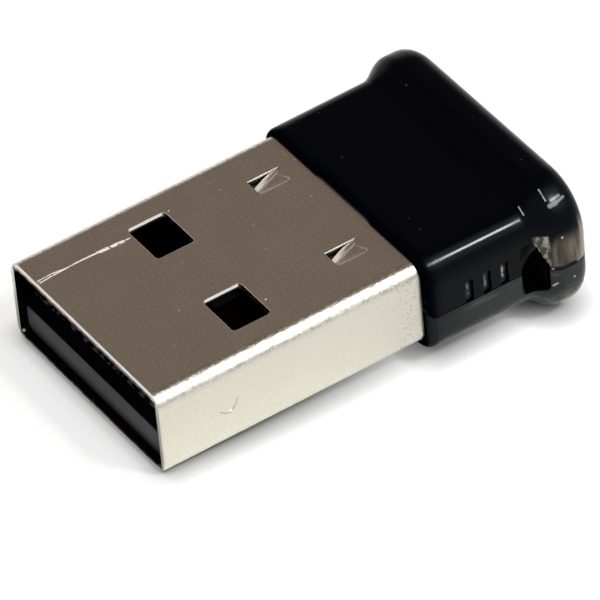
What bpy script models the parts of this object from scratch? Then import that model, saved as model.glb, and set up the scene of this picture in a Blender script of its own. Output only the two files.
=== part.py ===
"""A short USB radio adapter, built as it comes apart on a bench.

A folded steel plug shell holds a moulded contact block with four contacts.
A small circuit board is soldered to them, inside a smoky two-part housing
with a flared grip, a snap joint on each side and a lanyard eye in one corner.

Everything is modelled in the plug's own frame: x runs across the plug, y runs
from the open mouth (y = 0) into the housing, and z rises from the underside of
the shell. One empty, plug_datum, carries that frame to the part's origin, which
is at the middle of the part's base. All sizes are in metres.
"""
import math

import bmesh
import bpy
from mathutils import Matrix, Vector

# Plug shell: a sheet folded round into a tube
PLUG_WIDTH = 0.0120
PLUG_HEIGHT = 0.0045
SHEET = 0.0003
PLUG_CORNER = 0.00078
PLUG_REACH = 0.01375
SHELL_SEAT = 0.0020
MOUTH_CHAMFER = 0.00005
SEAM_GAP = 0.00004
SEAM_KEY_LENGTH = 0.0016
SEAM_KEY_WIDTH = 0.0011
SEAM_KEY_FLARE = 0.00025
SEAM_KEY_FIRST = 0.0024
SEAM_KEY_PITCH = 0.0074

# Windows in the shell that the socket's springs catch
WINDOW_INNER_EDGE = 0.00178
WINDOW_WIDTH = 0.0025
WINDOW_LENGTH = 0.0020
WINDOW_START = 0.0051
WINDOW_CORNER = 0.00018

# Lances: pressed patches of the top, each with one corner sheared and curled
# down from a slanting crease, so that it bites into the contact block. The
# sheared edge ends in a small hook, at whose tip the crease starts
LANCE_EDGES = (-0.00363, 0.00249)
LANCE_WIDTH = 0.00113
LANCE_START = 0.01108
LANCE_LENGTH = 0.00170
LANCE_CREASE = 0.00086
LANCE_CURL_STEPS = 5
LANCE_ANGLE = 78.0
LANCE_SHEAR = 0.00006
LANCE_HOOK_WIDTH = 0.00020
LANCE_HOOK_LENGTH = 0.00015
LANCE_PRESS = 0.00003
LANCE_PRESS_SLOPE = 0.00009
LANCE_PRESS_CORNER = 0.00022
LANCE_PRESS_INSET = 0.00002
LANCE_BORDER = 0.00020

# Tabs at the back of the shell, soldered to the edges of the board
SHELL_TAB_LENGTH = 0.0012
SHELL_TAB_LOW = 0.0009
SHELL_TAB_HIGH = 0.0021

# Contact block
BLOCK_FIT = 0.00003
TONGUE_RECESS = 0.00040
TONGUE_TOP = 0.00225
TONGUE_NOSE_HEIGHT = 0.00072
TONGUE_NOSE_LENGTH = 0.00050
BLOCK_FACE = 0.0094
BLOCK_PAST_COVER_EDGE = 0.00025
BLOCK_CORNER = 0.00050
LANCE_POCKET_DEPTH = 0.00100
LANCE_POCKET_MARGIN = 0.00015

# Contacts
CONTACT_PITCH_INNER = 0.0020
CONTACT_PITCH_OUTER = 0.0070
CONTACT_WIDTH = 0.00100
CONTACT_SHEET = 0.00025
CONTACT_RECESS = 0.00003
CONTACT_FIT = 0.00003
POWER_CONTACT_START = 0.00110
DATA_CONTACT_START = 0.00210
CONTACT_NOSE_LENGTH = 0.00045
CONTACT_NOSE_DROP = 0.00012
TAIL_STRAIGHT = 0.00020
TAIL_STEP_LENGTH = 0.00055
TAIL_FOOT = 0.00095
SOLDER_LENGTH = 0.00035

# Circuit board
BOARD_SIDE_CLEARANCE = 0.00042
BOARD_FRONT_CLEARANCE = 0.00005
BOARD_REAR_CLEARANCE = 0.00015
BOARD_THICKNESS = 0.00080
BOARD_TOP = 0.00155
BOARD_CORNER = 0.00040
BOARD_EYE_CLEARANCE = 0.00010
POST_FROM_BOARD_SIDE = 0.00130
POST_FROM_BOARD_FRONT = 0.00285
POST_DIAMETER = 0.00080
POST_FIT = 0.00005
POST_ABOVE_BOARD = 0.00060
PART_STANDOFF = 0.00002
PART_SPACING = 0.00013

# Housing: the body, and the flared grip behind it
COVER_LENGTH = 0.00825
COVER_FIT = 0.00002
BODY_SIDE_WALL = 0.00047
BODY_ABOVE = 0.00025
BODY_BELOW = 0.00060
BODY_CORNER = 0.00130
BODY_DRAFT = 0.010
FRONT_LIP = 0.00005
FRONT_ROUND = 0.00045
FLARE_START = 0.00535
FLARE_LENGTH = 0.00140
FLANGE_SIDE = 0.00078
FLANGE_ABOVE = 0.00085
FLANGE_BELOW = 0.00102
FLANGE_CORNER = 0.00260
REAR_ROUND = 0.00095
REAR_WALL = 0.00100
FRONT_RELIEF_WIDTH = 0.00400
FRONT_RELIEF_DEPTH = 0.00012
FRONT_RELIEF_RUN = 0.00035

# Parting line between the covers, which rises round a small arc at the front
PARTING = 0.00175
PARTING_GAP = 0.00005
PARTING_RISE = 0.00050

# Snap joint on each side: a lip of the lower cover with three teeth in notches
LIP_FROM_COVER_EDGE = 0.00125
LIP_LENGTH = 0.00310
LIP_THICKNESS = 0.00020
LIP_HEIGHT = 0.00135
LIP_FIT = 0.00003
NOTCH_FROM_COVER_EDGE = 0.00219
NOTCH_PITCH = 0.00094
NOTCH_COUNT = 3
NOTCH_WIDTH = 0.00043
NOTCH_HEIGHT = 0.00122
TOOTH_WIDTH = 0.00026
TOOTH_HEIGHT = 0.00098
TOOTH_SETBACK = 0.00020

# Lanyard eye: a tunnel that bends round a post in the rear right corner
EYE_POST_RADIUS = 0.00214
EYE_OUTER_RADIUS = 0.00341
EYE_LOW = 0.00050
EYE_HIGH = 0.00335
EYE_CORNER = 0.00025
EYE_WALL = 0.00040

# Supports for the board inside the covers
LEDGE_WIDTH = 0.00110
LEDGE_BEHIND_SHELL = 0.00030
RIB_INSET = 0.00060
RIB_THICKNESS = 0.00055
SEAT_GAP = 0.00003
RIB_FROM_REAR_WALL = 0.00050
RIB_FROM_EYE_WALL = 0.00030

# Parts on the board: length, width and height of each package
RADIO_CHIP = (0.0040, 0.0040, 0.00080)
CRYSTAL = (0.0025, 0.0020, 0.00055)
MEMORY_CHIP = (0.0030, 0.0020, 0.00055)
REGULATOR_BODY = (0.0029, 0.0016, 0.0010)
REGULATOR_SPAN = 0.0028
LED = (0.0016, 0.0008, 0.00055)
CHIP_ANTENNA = (0.0032, 0.0012, 0.00050)
SMALL_PART = (0.0010, 0.0005, 0.00045)
INDUCTOR = (0.0016, 0.0008, 0.00055)

# Fineness of the round stretches
CORNER_STEPS = 9
FILLET_STEPS = 5
FLARE_STEPS = 10
CIRCLE_STEPS = 32

# How far cutters run past what they cut, and how deep joined pieces sink in
MARGIN = 0.0010
BITE = 0.00008

# Values that follow from the driving sizes
HALF_PLUG = PLUG_WIDTH / 2.0
LANCE_END = LANCE_START + LANCE_LENGTH
SHELL_END = PLUG_REACH + SHELL_SEAT
COVER_REAR = PLUG_REACH + COVER_LENGTH
CAVITY_HALF = HALF_PLUG + COVER_FIT
CAVITY_LOW = -COVER_FIT
CAVITY_HIGH = PLUG_HEIGHT + COVER_FIT
CAVITY_REAR = COVER_REAR - REAR_WALL
BODY_HALF = CAVITY_HALF + BODY_SIDE_WALL
FLANGE_HALF = BODY_HALF + BODY_DRAFT * COVER_LENGTH + FLANGE_SIDE
BODY_TOP = PLUG_HEIGHT + BODY_ABOVE
BODY_BOTTOM = -BODY_BELOW
FLANGE_TOP = BODY_TOP + FLANGE_ABOVE
FLANGE_BOTTOM = BODY_BOTTOM - FLANGE_BELOW
BOARD_BOTTOM = BOARD_TOP - BOARD_THICKNESS
CONTACT_TOP = TONGUE_TOP - CONTACT_RECESS
EYE_X = FLANGE_HALF
EYE_Y = COVER_REAR
NOTCHES = [PLUG_REACH + NOTCH_FROM_COVER_EDGE + NOTCH_PITCH * k
           for k in range(NOTCH_COUNT)]
LIP_INNER = CAVITY_HALF + LIP_FIT
LIP_OUTER = LIP_INNER + LIP_THICKNESS
LIP_START = PLUG_REACH + LIP_FROM_COVER_EDGE
LIP_END = LIP_START + LIP_LENGTH
BLOCK_REAR = PLUG_REACH + BLOCK_PAST_COVER_EDGE
BOARD_FRONT = BLOCK_REAR + BOARD_FRONT_CLEARANCE
BOARD_REAR = CAVITY_REAR - BOARD_REAR_CLEARANCE
BOARD_HALF = CAVITY_HALF - BOARD_SIDE_CLEARANCE
TAIL_STEP_START = BLOCK_REAR + TAIL_STRAIGHT
TAIL_STEP_END = TAIL_STEP_START + TAIL_STEP_LENGTH
TAIL_END = TAIL_STEP_END + TAIL_FOOT
SOLDER_END = TAIL_END + PART_STANDOFF + SOLDER_LENGTH
POST_X = BOARD_HALF - POST_FROM_BOARD_SIDE
POST_Y = BOARD_FRONT + POST_FROM_BOARD_FRONT
LEDGE_FRONT = SHELL_END + LEDGE_BEHIND_SHELL
RIB_END_LEFT = CAVITY_REAR - RIB_FROM_REAR_WALL
RIB_END_RIGHT = COVER_REAR - EYE_OUTER_RADIUS - EYE_WALL - RIB_FROM_EYE_WALL


def clear_scene():
    for old in list(bpy.data.objects):
        bpy.data.objects.remove(old, do_unlink=True)


def make_finish(name, colour, roughness, metallic=0.0):
    """A Principled material with one colour, roughness and metallic value."""
    finish = bpy.data.materials.new(name)
    finish.use_nodes = True
    shader = finish.node_tree.nodes["Principled BSDF"]
    shader.inputs["Base Color"].default_value = (*colour, 1.0)
    shader.inputs["Roughness"].default_value = roughness
    shader.inputs["Metallic"].default_value = metallic
    finish.diffuse_color = (*colour, 1.0)
    return finish


def add_object(name, bm, datum, finish=None):
    """Turn a bmesh into an object that hangs on the plug's datum."""
    bmesh.ops.recalc_face_normals(bm, faces=bm.faces)
    mesh = bpy.data.meshes.new(name)
    bm.to_mesh(mesh)
    bm.free()
    mesh.shade_smooth()
    mesh.set_sharp_from_angle(angle=math.radians(32.0))
    part = bpy.data.objects.new(name, mesh)
    bpy.context.scene.collection.objects.link(part)
    part.parent = datum
    if finish is not None:
        mesh.materials.append(finish)
    return part


def add_cutter(name, bm, datum):
    """A guide solid: hidden from renders and drawn as wire."""
    cutter = add_object("cut_" + name, bm, datum)
    cutter.hide_render = True
    cutter.display_type = "WIRE"
    return cutter


def combine(part, tool, operation):
    """Cut, join or intersect a part with a guide solid."""
    step = part.modifiers.new(operation.lower() + "_" + tool.name, "BOOLEAN")
    step.object = tool
    step.operation = operation
    step.solver = "EXACT"


def arc(centre, radius, start, end, steps):
    """Points of an arc, angles in degrees."""
    points = []
    for k in range(steps + 1):
        angle = math.radians(start + (end - start) * k / steps)
        across = centre[0] + radius * math.cos(angle)
        along = centre[1] + radius * math.sin(angle)
        points.append((across, along))
    return points


def rounded_outline(low_a, high_a, low_b, high_b, radius, steps=CORNER_STEPS):
    """A rounded rectangle as points (a, b), counter-clockwise."""
    points = []
    points += arc((high_a - radius, high_b - radius), radius, 0, 90, steps)
    points += arc((low_a + radius, high_b - radius), radius, 90, 180, steps)
    points += arc((low_a + radius, low_b + radius), radius, 180, 270, steps)
    points += arc((high_a - radius, low_b + radius), radius, 270, 360, steps)
    return points


def blend(ring_a, ring_b, share):
    """The outline that lies the given share of the way from one to another."""
    return [(a[0] + (b[0] - a[0]) * share, a[1] + (b[1] - a[1]) * share)
            for a, b in zip(ring_a, ring_b)]


def loft(bm, stations):
    """A closed skin through outlines (x, z), each at its own y."""
    loops = []
    for y, ring in stations:
        loops.append([bm.verts.new((x, y, z)) for x, z in ring])
    for near, far in zip(loops, loops[1:]):
        count = len(near)
        for k in range(count):
            after = (k + 1) % count
            bm.faces.new((near[k], near[after], far[after], far[k]))
    bm.faces.new(loops[0])
    bm.faces.new(list(reversed(loops[-1])))


def prism(bm, outline, low, high, axis):
    """A flat outline drawn out along an axis between two levels."""
    def place(a, b, level):
        if axis == "X":
            return (level, a, b)
        if axis == "Y":
            return (a, level, b)
        return (a, b, level)

    near = [bm.verts.new(place(a, b, low)) for a, b in outline]
    far = [bm.verts.new(place(a, b, high)) for a, b in outline]
    count = len(outline)
    for k in range(count):
        after = (k + 1) % count
        bm.faces.new((near[k], near[after], far[after], far[k]))
    bm.faces.new(near)
    bm.faces.new(list(reversed(far)))


def box(bm, x_range, y_range, z_range):
    outline = [(x_range[0], y_range[0]), (x_range[1], y_range[0]),
               (x_range[1], y_range[1]), (x_range[0], y_range[1])]
    prism(bm, outline, z_range[0], z_range[1], "Z")


def strip_outline(path, thickness):
    """The outline of a strip of even thickness that follows a path."""
    sides = ([], [])
    for k, point in enumerate(path):
        here = Vector(point)
        before = Vector(path[max(k - 1, 0)])
        after = Vector(path[min(k + 1, len(path) - 1)])
        run_in = (here - before).normalized() if k else (after - here).normalized()
        run_out = (after - here).normalized() if k < len(path) - 1 else run_in
        normal_in = Vector((-run_in.y, run_in.x))
        normal_out = Vector((-run_out.y, run_out.x))
        mitre = (normal_in + normal_out).normalized()
        reach = thickness / 2.0 / max(mitre.dot(normal_in), 0.3)
        sides[0].append(tuple(here + mitre * reach))
        sides[1].append(tuple(here - mitre * reach))
    return sides[0] + list(reversed(sides[1]))


def soften(bm, width, segments=1, angle=60.0):
    """Break every edge that is sharper than an angle."""
    bmesh.ops.recalc_face_normals(bm, faces=bm.faces)
    bm.normal_update()
    edges = [edge for edge in bm.edges
             if edge.calc_face_angle(0.0) > math.radians(angle)]
    bmesh.ops.bevel(bm, geom=edges, offset=width, segments=segments,
                    profile=0.5, affect="EDGES", material=-1, clamp_overlap=True)


def add_lance(bm, corners):
    """Fill one patch of the top: a pressed panel and its curled corner.

    The corners are mesh vertices of the flat sheet: rear left, front left,
    the crease's front end, front right, rear right and the crease's own x
    at the rear. The sheared edge runs from front left to rear left.
    """
    rear_left, front_left, crease, front_right, rear_right, rear_mid = corners
    hook = Vector((LANCE_HOOK_WIDTH, -LANCE_HOOK_LENGTH, 0.0))
    tip = bm.verts.new(rear_left.co + hook)

    # The flat corner, cut into strips along the crease
    front = front_left.co + Vector((LANCE_SHEAR, LANCE_SHEAR, 0.0))
    rear = rear_left.co + Vector((LANCE_SHEAR, -2.0 * LANCE_SHEAR, 0.0))
    hinge = (crease.co - tip.co).normalized()
    off = Vector((hinge.y, -hinge.x, 0.0))
    widest = (front - crease.co).dot(off)
    narrow = (rear - crease.co).dot(off)
    reach = [narrow + (widest - narrow) * k / LANCE_CURL_STEPS
             for k in range(1, LANCE_CURL_STEPS)]
    along_front = [crease.co.lerp(front, far / widest) for far in reach]
    along_edge = [rear.lerp(front, (far - narrow) / (widest - narrow)) for far in reach]
    flap = [[crease.co, along_front[0], along_edge[0], rear, tip.co]]
    for k in range(LANCE_CURL_STEPS - 2):
        flap.append([along_front[k], along_front[k + 1], along_edge[k + 1], along_edge[k]])
    flap.append([along_front[-1], front, along_edge[-1]])

    # Each strip turns down a little further than the one before it
    turn_each = Matrix.Rotation(math.radians(LANCE_ANGLE / LANCE_CURL_STEPS), 3, hinge)
    turn = Matrix.Identity(3)
    start = tip.co.copy()
    curled_start = start.copy()
    made = {crease.co.to_tuple(9): crease, tip.co.to_tuple(9): tip}
    for strip in flap:
        shift = turn @ (strip[0] - start)
        curled_start = curled_start + shift
        start = strip[0]
        turn = turn_each @ turn
        corners_made = []
        for spot in strip:
            key = spot.to_tuple(9)
            if key not in made:
                made[key] = bm.verts.new(curled_start + turn @ (spot - start))
            corners_made.append(made[key])
        bm.faces.new(corners_made[::-1])

    # The rest of the patch is a shallow pressed panel with rounded corners
    right = front_right.co.x - LANCE_PRESS_INSET
    low = front_right.co.y + LANCE_PRESS_INSET
    high = rear_right.co.y - LANCE_PRESS_INSET
    corner = min(LANCE_PRESS_CORNER, 0.8 * (right - crease.co.x))
    tight = max(corner - LANCE_PRESS_SLOPE, 0.2 * corner)
    near = (right - corner, low + corner)
    far = (right - corner, high - corner)
    rounded = arc(near, corner, 270, 360, 3) + arc(far, corner, 0, 90, 3)
    sunk = arc(near, tight, 270, 360, 3) + arc(far, tight, 0, 90, 3)
    along = (tip.co - crease.co).normalized() * LANCE_PRESS_SLOPE
    inwards = Vector((along.y, -along.x, 0.0))
    first = crease.co + 2.0 * along + inwards
    last = tip.co - 2.5 * along + inwards
    sunk = [(first.x, first.y)] + sunk + [(last.x, last.y)]
    rim = [bm.verts.new((x, y, PLUG_HEIGHT)) for x, y in rounded]
    bm.faces.new([crease, front_right, rear_right, rear_mid, rear_left, tip] + rim[::-1])
    rim = [crease] + rim + [tip]
    inner = [bm.verts.new((x, y, PLUG_HEIGHT - LANCE_PRESS)) for x, y in sunk]
    for k in range(len(rim)):
        after = (k + 1) % len(rim)
        bm.faces.new((rim[k], rim[after], inner[after], inner[k]))
    bm.faces.new(inner)


def make_plug_shell(datum, finish):
    """The shell's sheet, folded round, with its lances bent out of the top."""
    flat = HALF_PLUG - PLUG_CORNER
    across = []
    for edge in LANCE_EDGES:
        across += [edge, edge + LANCE_CREASE, edge + LANCE_WIDTH]
    top = PLUG_HEIGHT - PLUG_CORNER
    ring = arc((flat, top), PLUG_CORNER, 0, 90, CORNER_STEPS)
    first_top = len(ring)
    ring += [(x, PLUG_HEIGHT) for x in reversed(across)]
    ring += arc((-flat, top), PLUG_CORNER, 90, 180, CORNER_STEPS)
    ring += [(-HALF_PLUG, SHELL_TAB_HIGH), (-HALF_PLUG, SHELL_TAB_LOW)]
    ring += arc((-flat, PLUG_CORNER), PLUG_CORNER, 180, 270, CORNER_STEPS)
    ring += arc((flat, PLUG_CORNER), PLUG_CORNER, 270, 360, CORNER_STEPS)
    ring += [(HALF_PLUG, SHELL_TAB_LOW), (HALF_PLUG, SHELL_TAB_HIGH)]
    rows = [0.0, LANCE_START - LANCE_BORDER, LANCE_START, LANCE_END,
            LANCE_END + LANCE_BORDER, SHELL_END, SHELL_END + SHELL_TAB_LENGTH]
    lance_row = rows.index(LANCE_START)

    bm = bmesh.new()
    grid = [[bm.verts.new((x, y, z)) for x, z in ring] for y in rows]

    def is_open(row, cell):
        """True where the sheet ends early, or where a lance takes its place."""
        after = (cell + 1) % len(ring)
        if rows[row] == SHELL_END:
            low, high = sorted((ring[cell][1], ring[after][1]))
            return not (low == SHELL_TAB_LOW and high == SHELL_TAB_HIGH)
        offset = cell - first_top
        return row == lance_row and offset in (0, 1, 3, 4)

    for row in range(len(rows) - 1):
        for cell in range(len(ring)):
            if is_open(row, cell):
                continue
            after = (cell + 1) % len(ring)
            bm.faces.new((grid[row][cell], grid[row][after],
                          grid[row + 1][after], grid[row + 1][cell]))

    for right in (first_top, first_top + 3):
        near = grid[lance_row]
        far = grid[lance_row + 1]
        add_lance(bm, (far[right + 2], near[right + 2], near[right + 1],
                       near[right], far[right], far[right + 1]))

    loose = [vertex for vertex in bm.verts if not vertex.link_faces]
    bmesh.ops.delete(bm, geom=loose, context="VERTS")
    shell = add_object("plug_shell", bm, datum, finish)
    wall = shell.modifiers.new("sheet_thickness", "SOLIDIFY")
    wall.thickness = SHEET
    wall.offset = -1.0
    wall.use_even_offset = True
    shell.modifiers.new("flat_facets", "TRIANGULATE")

    bm = bmesh.new()
    stations = []
    for y, grow in ((-SHEET, -SHEET - MOUTH_CHAMFER), (MOUTH_CHAMFER + BITE, BITE),
                    (SHELL_END + MARGIN + SHELL_TAB_LENGTH, BITE)):
        stations.append((y, rounded_outline(-HALF_PLUG - grow, HALF_PLUG + grow, -grow,
                                            PLUG_HEIGHT + grow, PLUG_CORNER + grow)))
    loft(bm, stations)
    combine(shell, add_cutter("mouth_taper", bm, datum), "INTERSECT")

    for side, label in ((-1, "left"), (1, "right")):
        bm = bmesh.new()
        edges = sorted((side * WINDOW_INNER_EDGE,
                        side * (WINDOW_INNER_EDGE + WINDOW_WIDTH)))
        outline = rounded_outline(edges[0], edges[1], WINDOW_START,
                                  WINDOW_START + WINDOW_LENGTH, WINDOW_CORNER, 4)
        prism(bm, outline, -MARGIN, PLUG_HEIGHT + MARGIN, "Z")
        combine(shell, add_cutter("window_" + label, bm, datum), "DIFFERENCE")

    bm = bmesh.new()
    prism(bm, strip_outline(seam_path(), SEAM_GAP), -MARGIN, SHEET + BITE, "Z")
    combine(shell, add_cutter("seam", bm, datum), "DIFFERENCE")
    return shell


def seam_path():
    """The folded seam under the shell: straight, with two dovetail keys."""
    path = [(0.0, -MARGIN)]
    for k in range(2):
        start = SEAM_KEY_FIRST + SEAM_KEY_PITCH * k
        end = start + SEAM_KEY_LENGTH
        path.append((0.0, start))
        path.append((SEAM_KEY_WIDTH, start - SEAM_KEY_FLARE))
        path.append((SEAM_KEY_WIDTH, end + SEAM_KEY_FLARE))
        path.append((0.0, end))
    path.append((0.0, SHELL_END + SHELL_TAB_LENGTH + MARGIN))
    return path


def contact_places():
    """Each contact's name, its x and where its nose starts."""
    inner = CONTACT_PITCH_INNER / 2.0
    outer = CONTACT_PITCH_OUTER / 2.0
    return [("contact_supply", -outer, POWER_CONTACT_START),
            ("contact_data_minus", -inner, DATA_CONTACT_START),
            ("contact_data_plus", inner, DATA_CONTACT_START),
            ("contact_ground", outer, POWER_CONTACT_START)]


def make_contact_block(datum, finish):
    """Tongue and rear block in one moulding, with grooves for the contacts."""
    inside = SHEET + BLOCK_FIT
    bm = bmesh.new()
    outline = rounded_outline(-HALF_PLUG + inside, HALF_PLUG - inside,
                              inside, PLUG_HEIGHT - inside, BLOCK_CORNER, 5)
    loft(bm, [(TONGUE_RECESS, outline), (BLOCK_REAR, outline)])
    block = add_object("contact_block", bm, datum, finish)

    bm = bmesh.new()
    nose = TONGUE_RECESS + TONGUE_NOSE_LENGTH
    nose_low = TONGUE_TOP - TONGUE_NOSE_HEIGHT
    outline = [(TONGUE_RECESS - MARGIN, nose_low), (TONGUE_RECESS, nose_low), (nose, TONGUE_TOP),
               (BLOCK_FACE, TONGUE_TOP), (BLOCK_FACE, PLUG_HEIGHT + MARGIN),
               (TONGUE_RECESS - MARGIN, PLUG_HEIGHT + MARGIN)]
    prism(bm, outline, -HALF_PLUG, HALF_PLUG, "X")
    combine(block, add_cutter("above_tongue", bm, datum), "DIFFERENCE")

    groove_half = CONTACT_WIDTH / 2.0 + CONTACT_FIT
    floor = CONTACT_TOP - CONTACT_SHEET - CONTACT_FIT
    for name, x, start in contact_places():
        bm = bmesh.new()
        nose_floor = floor - CONTACT_NOSE_DROP
        nose_end = start + CONTACT_NOSE_LENGTH + CONTACT_FIT
        front = start - 2.0 * CONTACT_FIT
        outline = [(front, nose_floor), (nose_end, nose_floor), (nose_end, floor),
                   (BLOCK_REAR + MARGIN, floor), (BLOCK_REAR + MARGIN, TONGUE_TOP + CONTACT_FIT),
                   (front, TONGUE_TOP + CONTACT_FIT)]
        prism(bm, outline, x - groove_half, x + groove_half, "X")
        combine(block, add_cutter("groove_" + name, bm, datum), "DIFFERENCE")

    margin = LANCE_POCKET_MARGIN
    for edge, label in zip(LANCE_EDGES, ("left", "right")):
        bm = bmesh.new()
        box(bm, (edge - margin, edge + LANCE_WIDTH + margin),
            (LANCE_START - margin, LANCE_END + margin),
            (PLUG_HEIGHT - LANCE_POCKET_DEPTH, PLUG_HEIGHT + MARGIN))
        combine(block, add_cutter("lance_pocket_" + label, bm, datum), "DIFFERENCE")
    return block


def make_contacts(datum, finish):
    """Four stamped strips: a nose, a straight blade and a tail on the board."""
    middle = CONTACT_TOP - CONTACT_SHEET / 2.0
    tail = BOARD_TOP + PART_STANDOFF + CONTACT_SHEET / 2.0
    bend = TAIL_STEP_LENGTH / 4.0
    for name, x, start in contact_places():
        path = [(start, middle - CONTACT_NOSE_DROP),
                (start + CONTACT_NOSE_LENGTH * 0.6, middle - CONTACT_NOSE_DROP * 0.15),
                (start + CONTACT_NOSE_LENGTH, middle), (TAIL_STEP_START, middle),
                (TAIL_STEP_START + bend, middle - (middle - tail) * 0.15),
                (TAIL_STEP_START + 3.0 * bend, tail + (middle - tail) * 0.15),
                (TAIL_STEP_END, tail), (TAIL_END, tail)]
        bm = bmesh.new()
        half = CONTACT_WIDTH / 2.0
        prism(bm, strip_outline(path, CONTACT_SHEET), x - half, x + half, "X")
        add_object(name, bm, datum, finish)


def make_solder(datum, finish):
    """A fillet of solder behind each contact's tail."""
    for name, x, start in contact_places():
        front = TAIL_END + PART_STANDOFF
        base = BOARD_TOP + PART_STANDOFF
        top = base + CONTACT_SHEET
        outline = [(front, base)]
        outline.append((front + SOLDER_LENGTH, base))
        outline += arc((front + SOLDER_LENGTH, top), CONTACT_SHEET * 0.85, 260, 190, 4)
        outline.append((front, top))
        bm = bmesh.new()
        half = CONTACT_WIDTH / 2.0
        prism(bm, outline, x - half, x + half, "X")
        add_object(name.replace("contact", "solder"), bm, datum, finish)


def eye_cylinder(bm, radius, low, high):
    """An upright cylinder about the lanyard eye's own axis."""
    prism(bm, arc((EYE_X, EYE_Y), radius, 0, 360, 2 * CIRCLE_STEPS)[:-1], low, high, "Z")


def make_board(datum, finish):
    """The board: notched round the lanyard eye, with two locating holes."""
    bm = bmesh.new()
    outline = rounded_outline(-BOARD_HALF, BOARD_HALF, BOARD_FRONT, BOARD_REAR,
                              BOARD_CORNER, 3)
    prism(bm, outline, BOARD_BOTTOM, BOARD_TOP, "Z")
    board = add_object("circuit_board", bm, datum, finish)
    bm = bmesh.new()
    radius = EYE_OUTER_RADIUS + EYE_WALL + BOARD_EYE_CLEARANCE
    eye_cylinder(bm, radius, BOARD_BOTTOM - MARGIN, BOARD_TOP + MARGIN)
    combine(board, add_cutter("board_eye", bm, datum), "DIFFERENCE")
    for side, label in ((-1, "left"), (1, "right")):
        bm = bmesh.new()
        hole = arc((side * POST_X, POST_Y), POST_DIAMETER / 2.0 + POST_FIT, 0, 360, CIRCLE_STEPS)
        prism(bm, hole[:-1], BOARD_BOTTOM - MARGIN, BOARD_TOP + MARGIN, "Z")
        combine(board, add_cutter("board_hole_" + label, bm, datum), "DIFFERENCE")
    return board


def seat_on_board(part, place, turn, below=False):
    """Stand a package on the board's top, or hang it under the board."""
    x, y = place
    if below:
        part.rotation_euler = (math.pi, 0.0, math.radians(turn))
        part.location = (x, y, BOARD_BOTTOM - PART_STANDOFF)
    else:
        part.rotation_euler = (0.0, 0.0, math.radians(turn))
        part.location = (x, y, BOARD_TOP + PART_STANDOFF)


def make_leadless_chip(name, size, pads_per_side, place, turn, below, datum, finish):
    """A flat package with pads round its foot and a dimple at its first pad."""
    length, width, height = size
    pad_height = 0.00018
    pad_reach = 0.00002
    pad_share = 0.5
    outline = []
    corners = [(1, 0, length, width), (0, 1, width, length),
               (-1, 0, length, width), (0, -1, width, length)]
    for out_x, out_y, depth, run in corners:
        pitch = run / (pads_per_side + 1)
        along = Vector((-out_y, out_x))
        outward = Vector((out_x, out_y))
        for k in range(pads_per_side):
            centre = -run / 2.0 + pitch * (k + 1)
            for shift, reach in ((-1, 0.0), (-1, pad_reach), (1, pad_reach), (1, 0.0)):
                point = along * (centre + shift * pitch * pad_share / 2.0)
                point += outward * (depth / 2.0 + reach)
                outline.append(tuple(point))
        corner = along * (run / 2.0) + outward * (depth / 2.0)
        outline.append(tuple(corner))
    bm = bmesh.new()
    prism(bm, outline, 0.0, pad_height, "Z")
    chip = add_object(name, bm, datum, finish)

    bm = bmesh.new()
    inset = 0.00003
    box(bm, (-length / 2.0 + inset, length / 2.0 - inset),
        (-width / 2.0 + inset, width / 2.0 - inset), (pad_height / 2.0, height))
    soften(bm, 0.00004)
    body = add_cutter(name + "_body", bm, datum)
    combine(chip, body, "UNION")

    bm = bmesh.new()
    dimple = arc((-length / 2.0 + 0.0004, width / 2.0 - 0.0004), 0.00018, 0, 360, 16)
    prism(bm, dimple[:-1], height - 0.00005, height + MARGIN, "Z")
    mark = add_cutter(name + "_dimple", bm, datum)
    combine(chip, mark, "DIFFERENCE")
    for piece in (chip, body, mark):
        seat_on_board(piece, place, turn, below)


def make_regulator(place, turn, datum, finish):
    """A small moulded body with five gull-wing leads."""
    length, width, height = REGULATOR_BODY
    lift = 0.00010
    lead_sheet = 0.00012
    lead_width = 0.00040
    lead_pitch = 0.00095
    middle = lift + (height - lift) * 0.45
    draft = 0.00006
    bm = bmesh.new()
    half_l = length / 2.0
    half_w = width / 2.0
    waist = rounded_outline(-half_l, half_l, -half_w, half_w, 0.00005, 2)
    ends = rounded_outline(-half_l + draft, half_l - draft,
                           -half_w + draft, half_w - draft, 0.00005, 2)
    levels = []
    for level, ring in ((lift, ends), (middle, waist), (height, ends)):
        levels.append([bm.verts.new((a, b, level)) for a, b in ring])
    for low, high in zip(levels, levels[1:]):
        for k in range(len(low)):
            after = (k + 1) % len(low)
            bm.faces.new((low[k], low[after], high[after], high[k]))
    bm.faces.new(levels[0])
    bm.faces.new(levels[-1])
    body = add_object("voltage_regulator", bm, datum, finish)

    pieces = [body]
    half_span = REGULATOR_SPAN / 2.0
    foot = 0.00035
    for side, count in ((-1, 3), (1, 2)):
        for k in range(count):
            x = (k - (count - 1) / 2.0) * lead_pitch * (1 if count == 3 else 2)
            base = lead_sheet / 2.0
            path = [(side * (half_w - BITE), middle), (side * (half_w + 0.00018), middle),
                    (side * (half_span - foot - 0.00003), base), (side * half_span, base)]
            bm = bmesh.new()
            prism(bm, strip_outline(path, lead_sheet), x - lead_width / 2.0,
                  x + lead_width / 2.0, "X")
            lead = add_cutter("regulator_lead_%d_%d" % (side + 1, k), bm, datum)
            combine(body, lead, "UNION")
            pieces.append(lead)
    for piece in pieces:
        seat_on_board(piece, place, turn)


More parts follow.
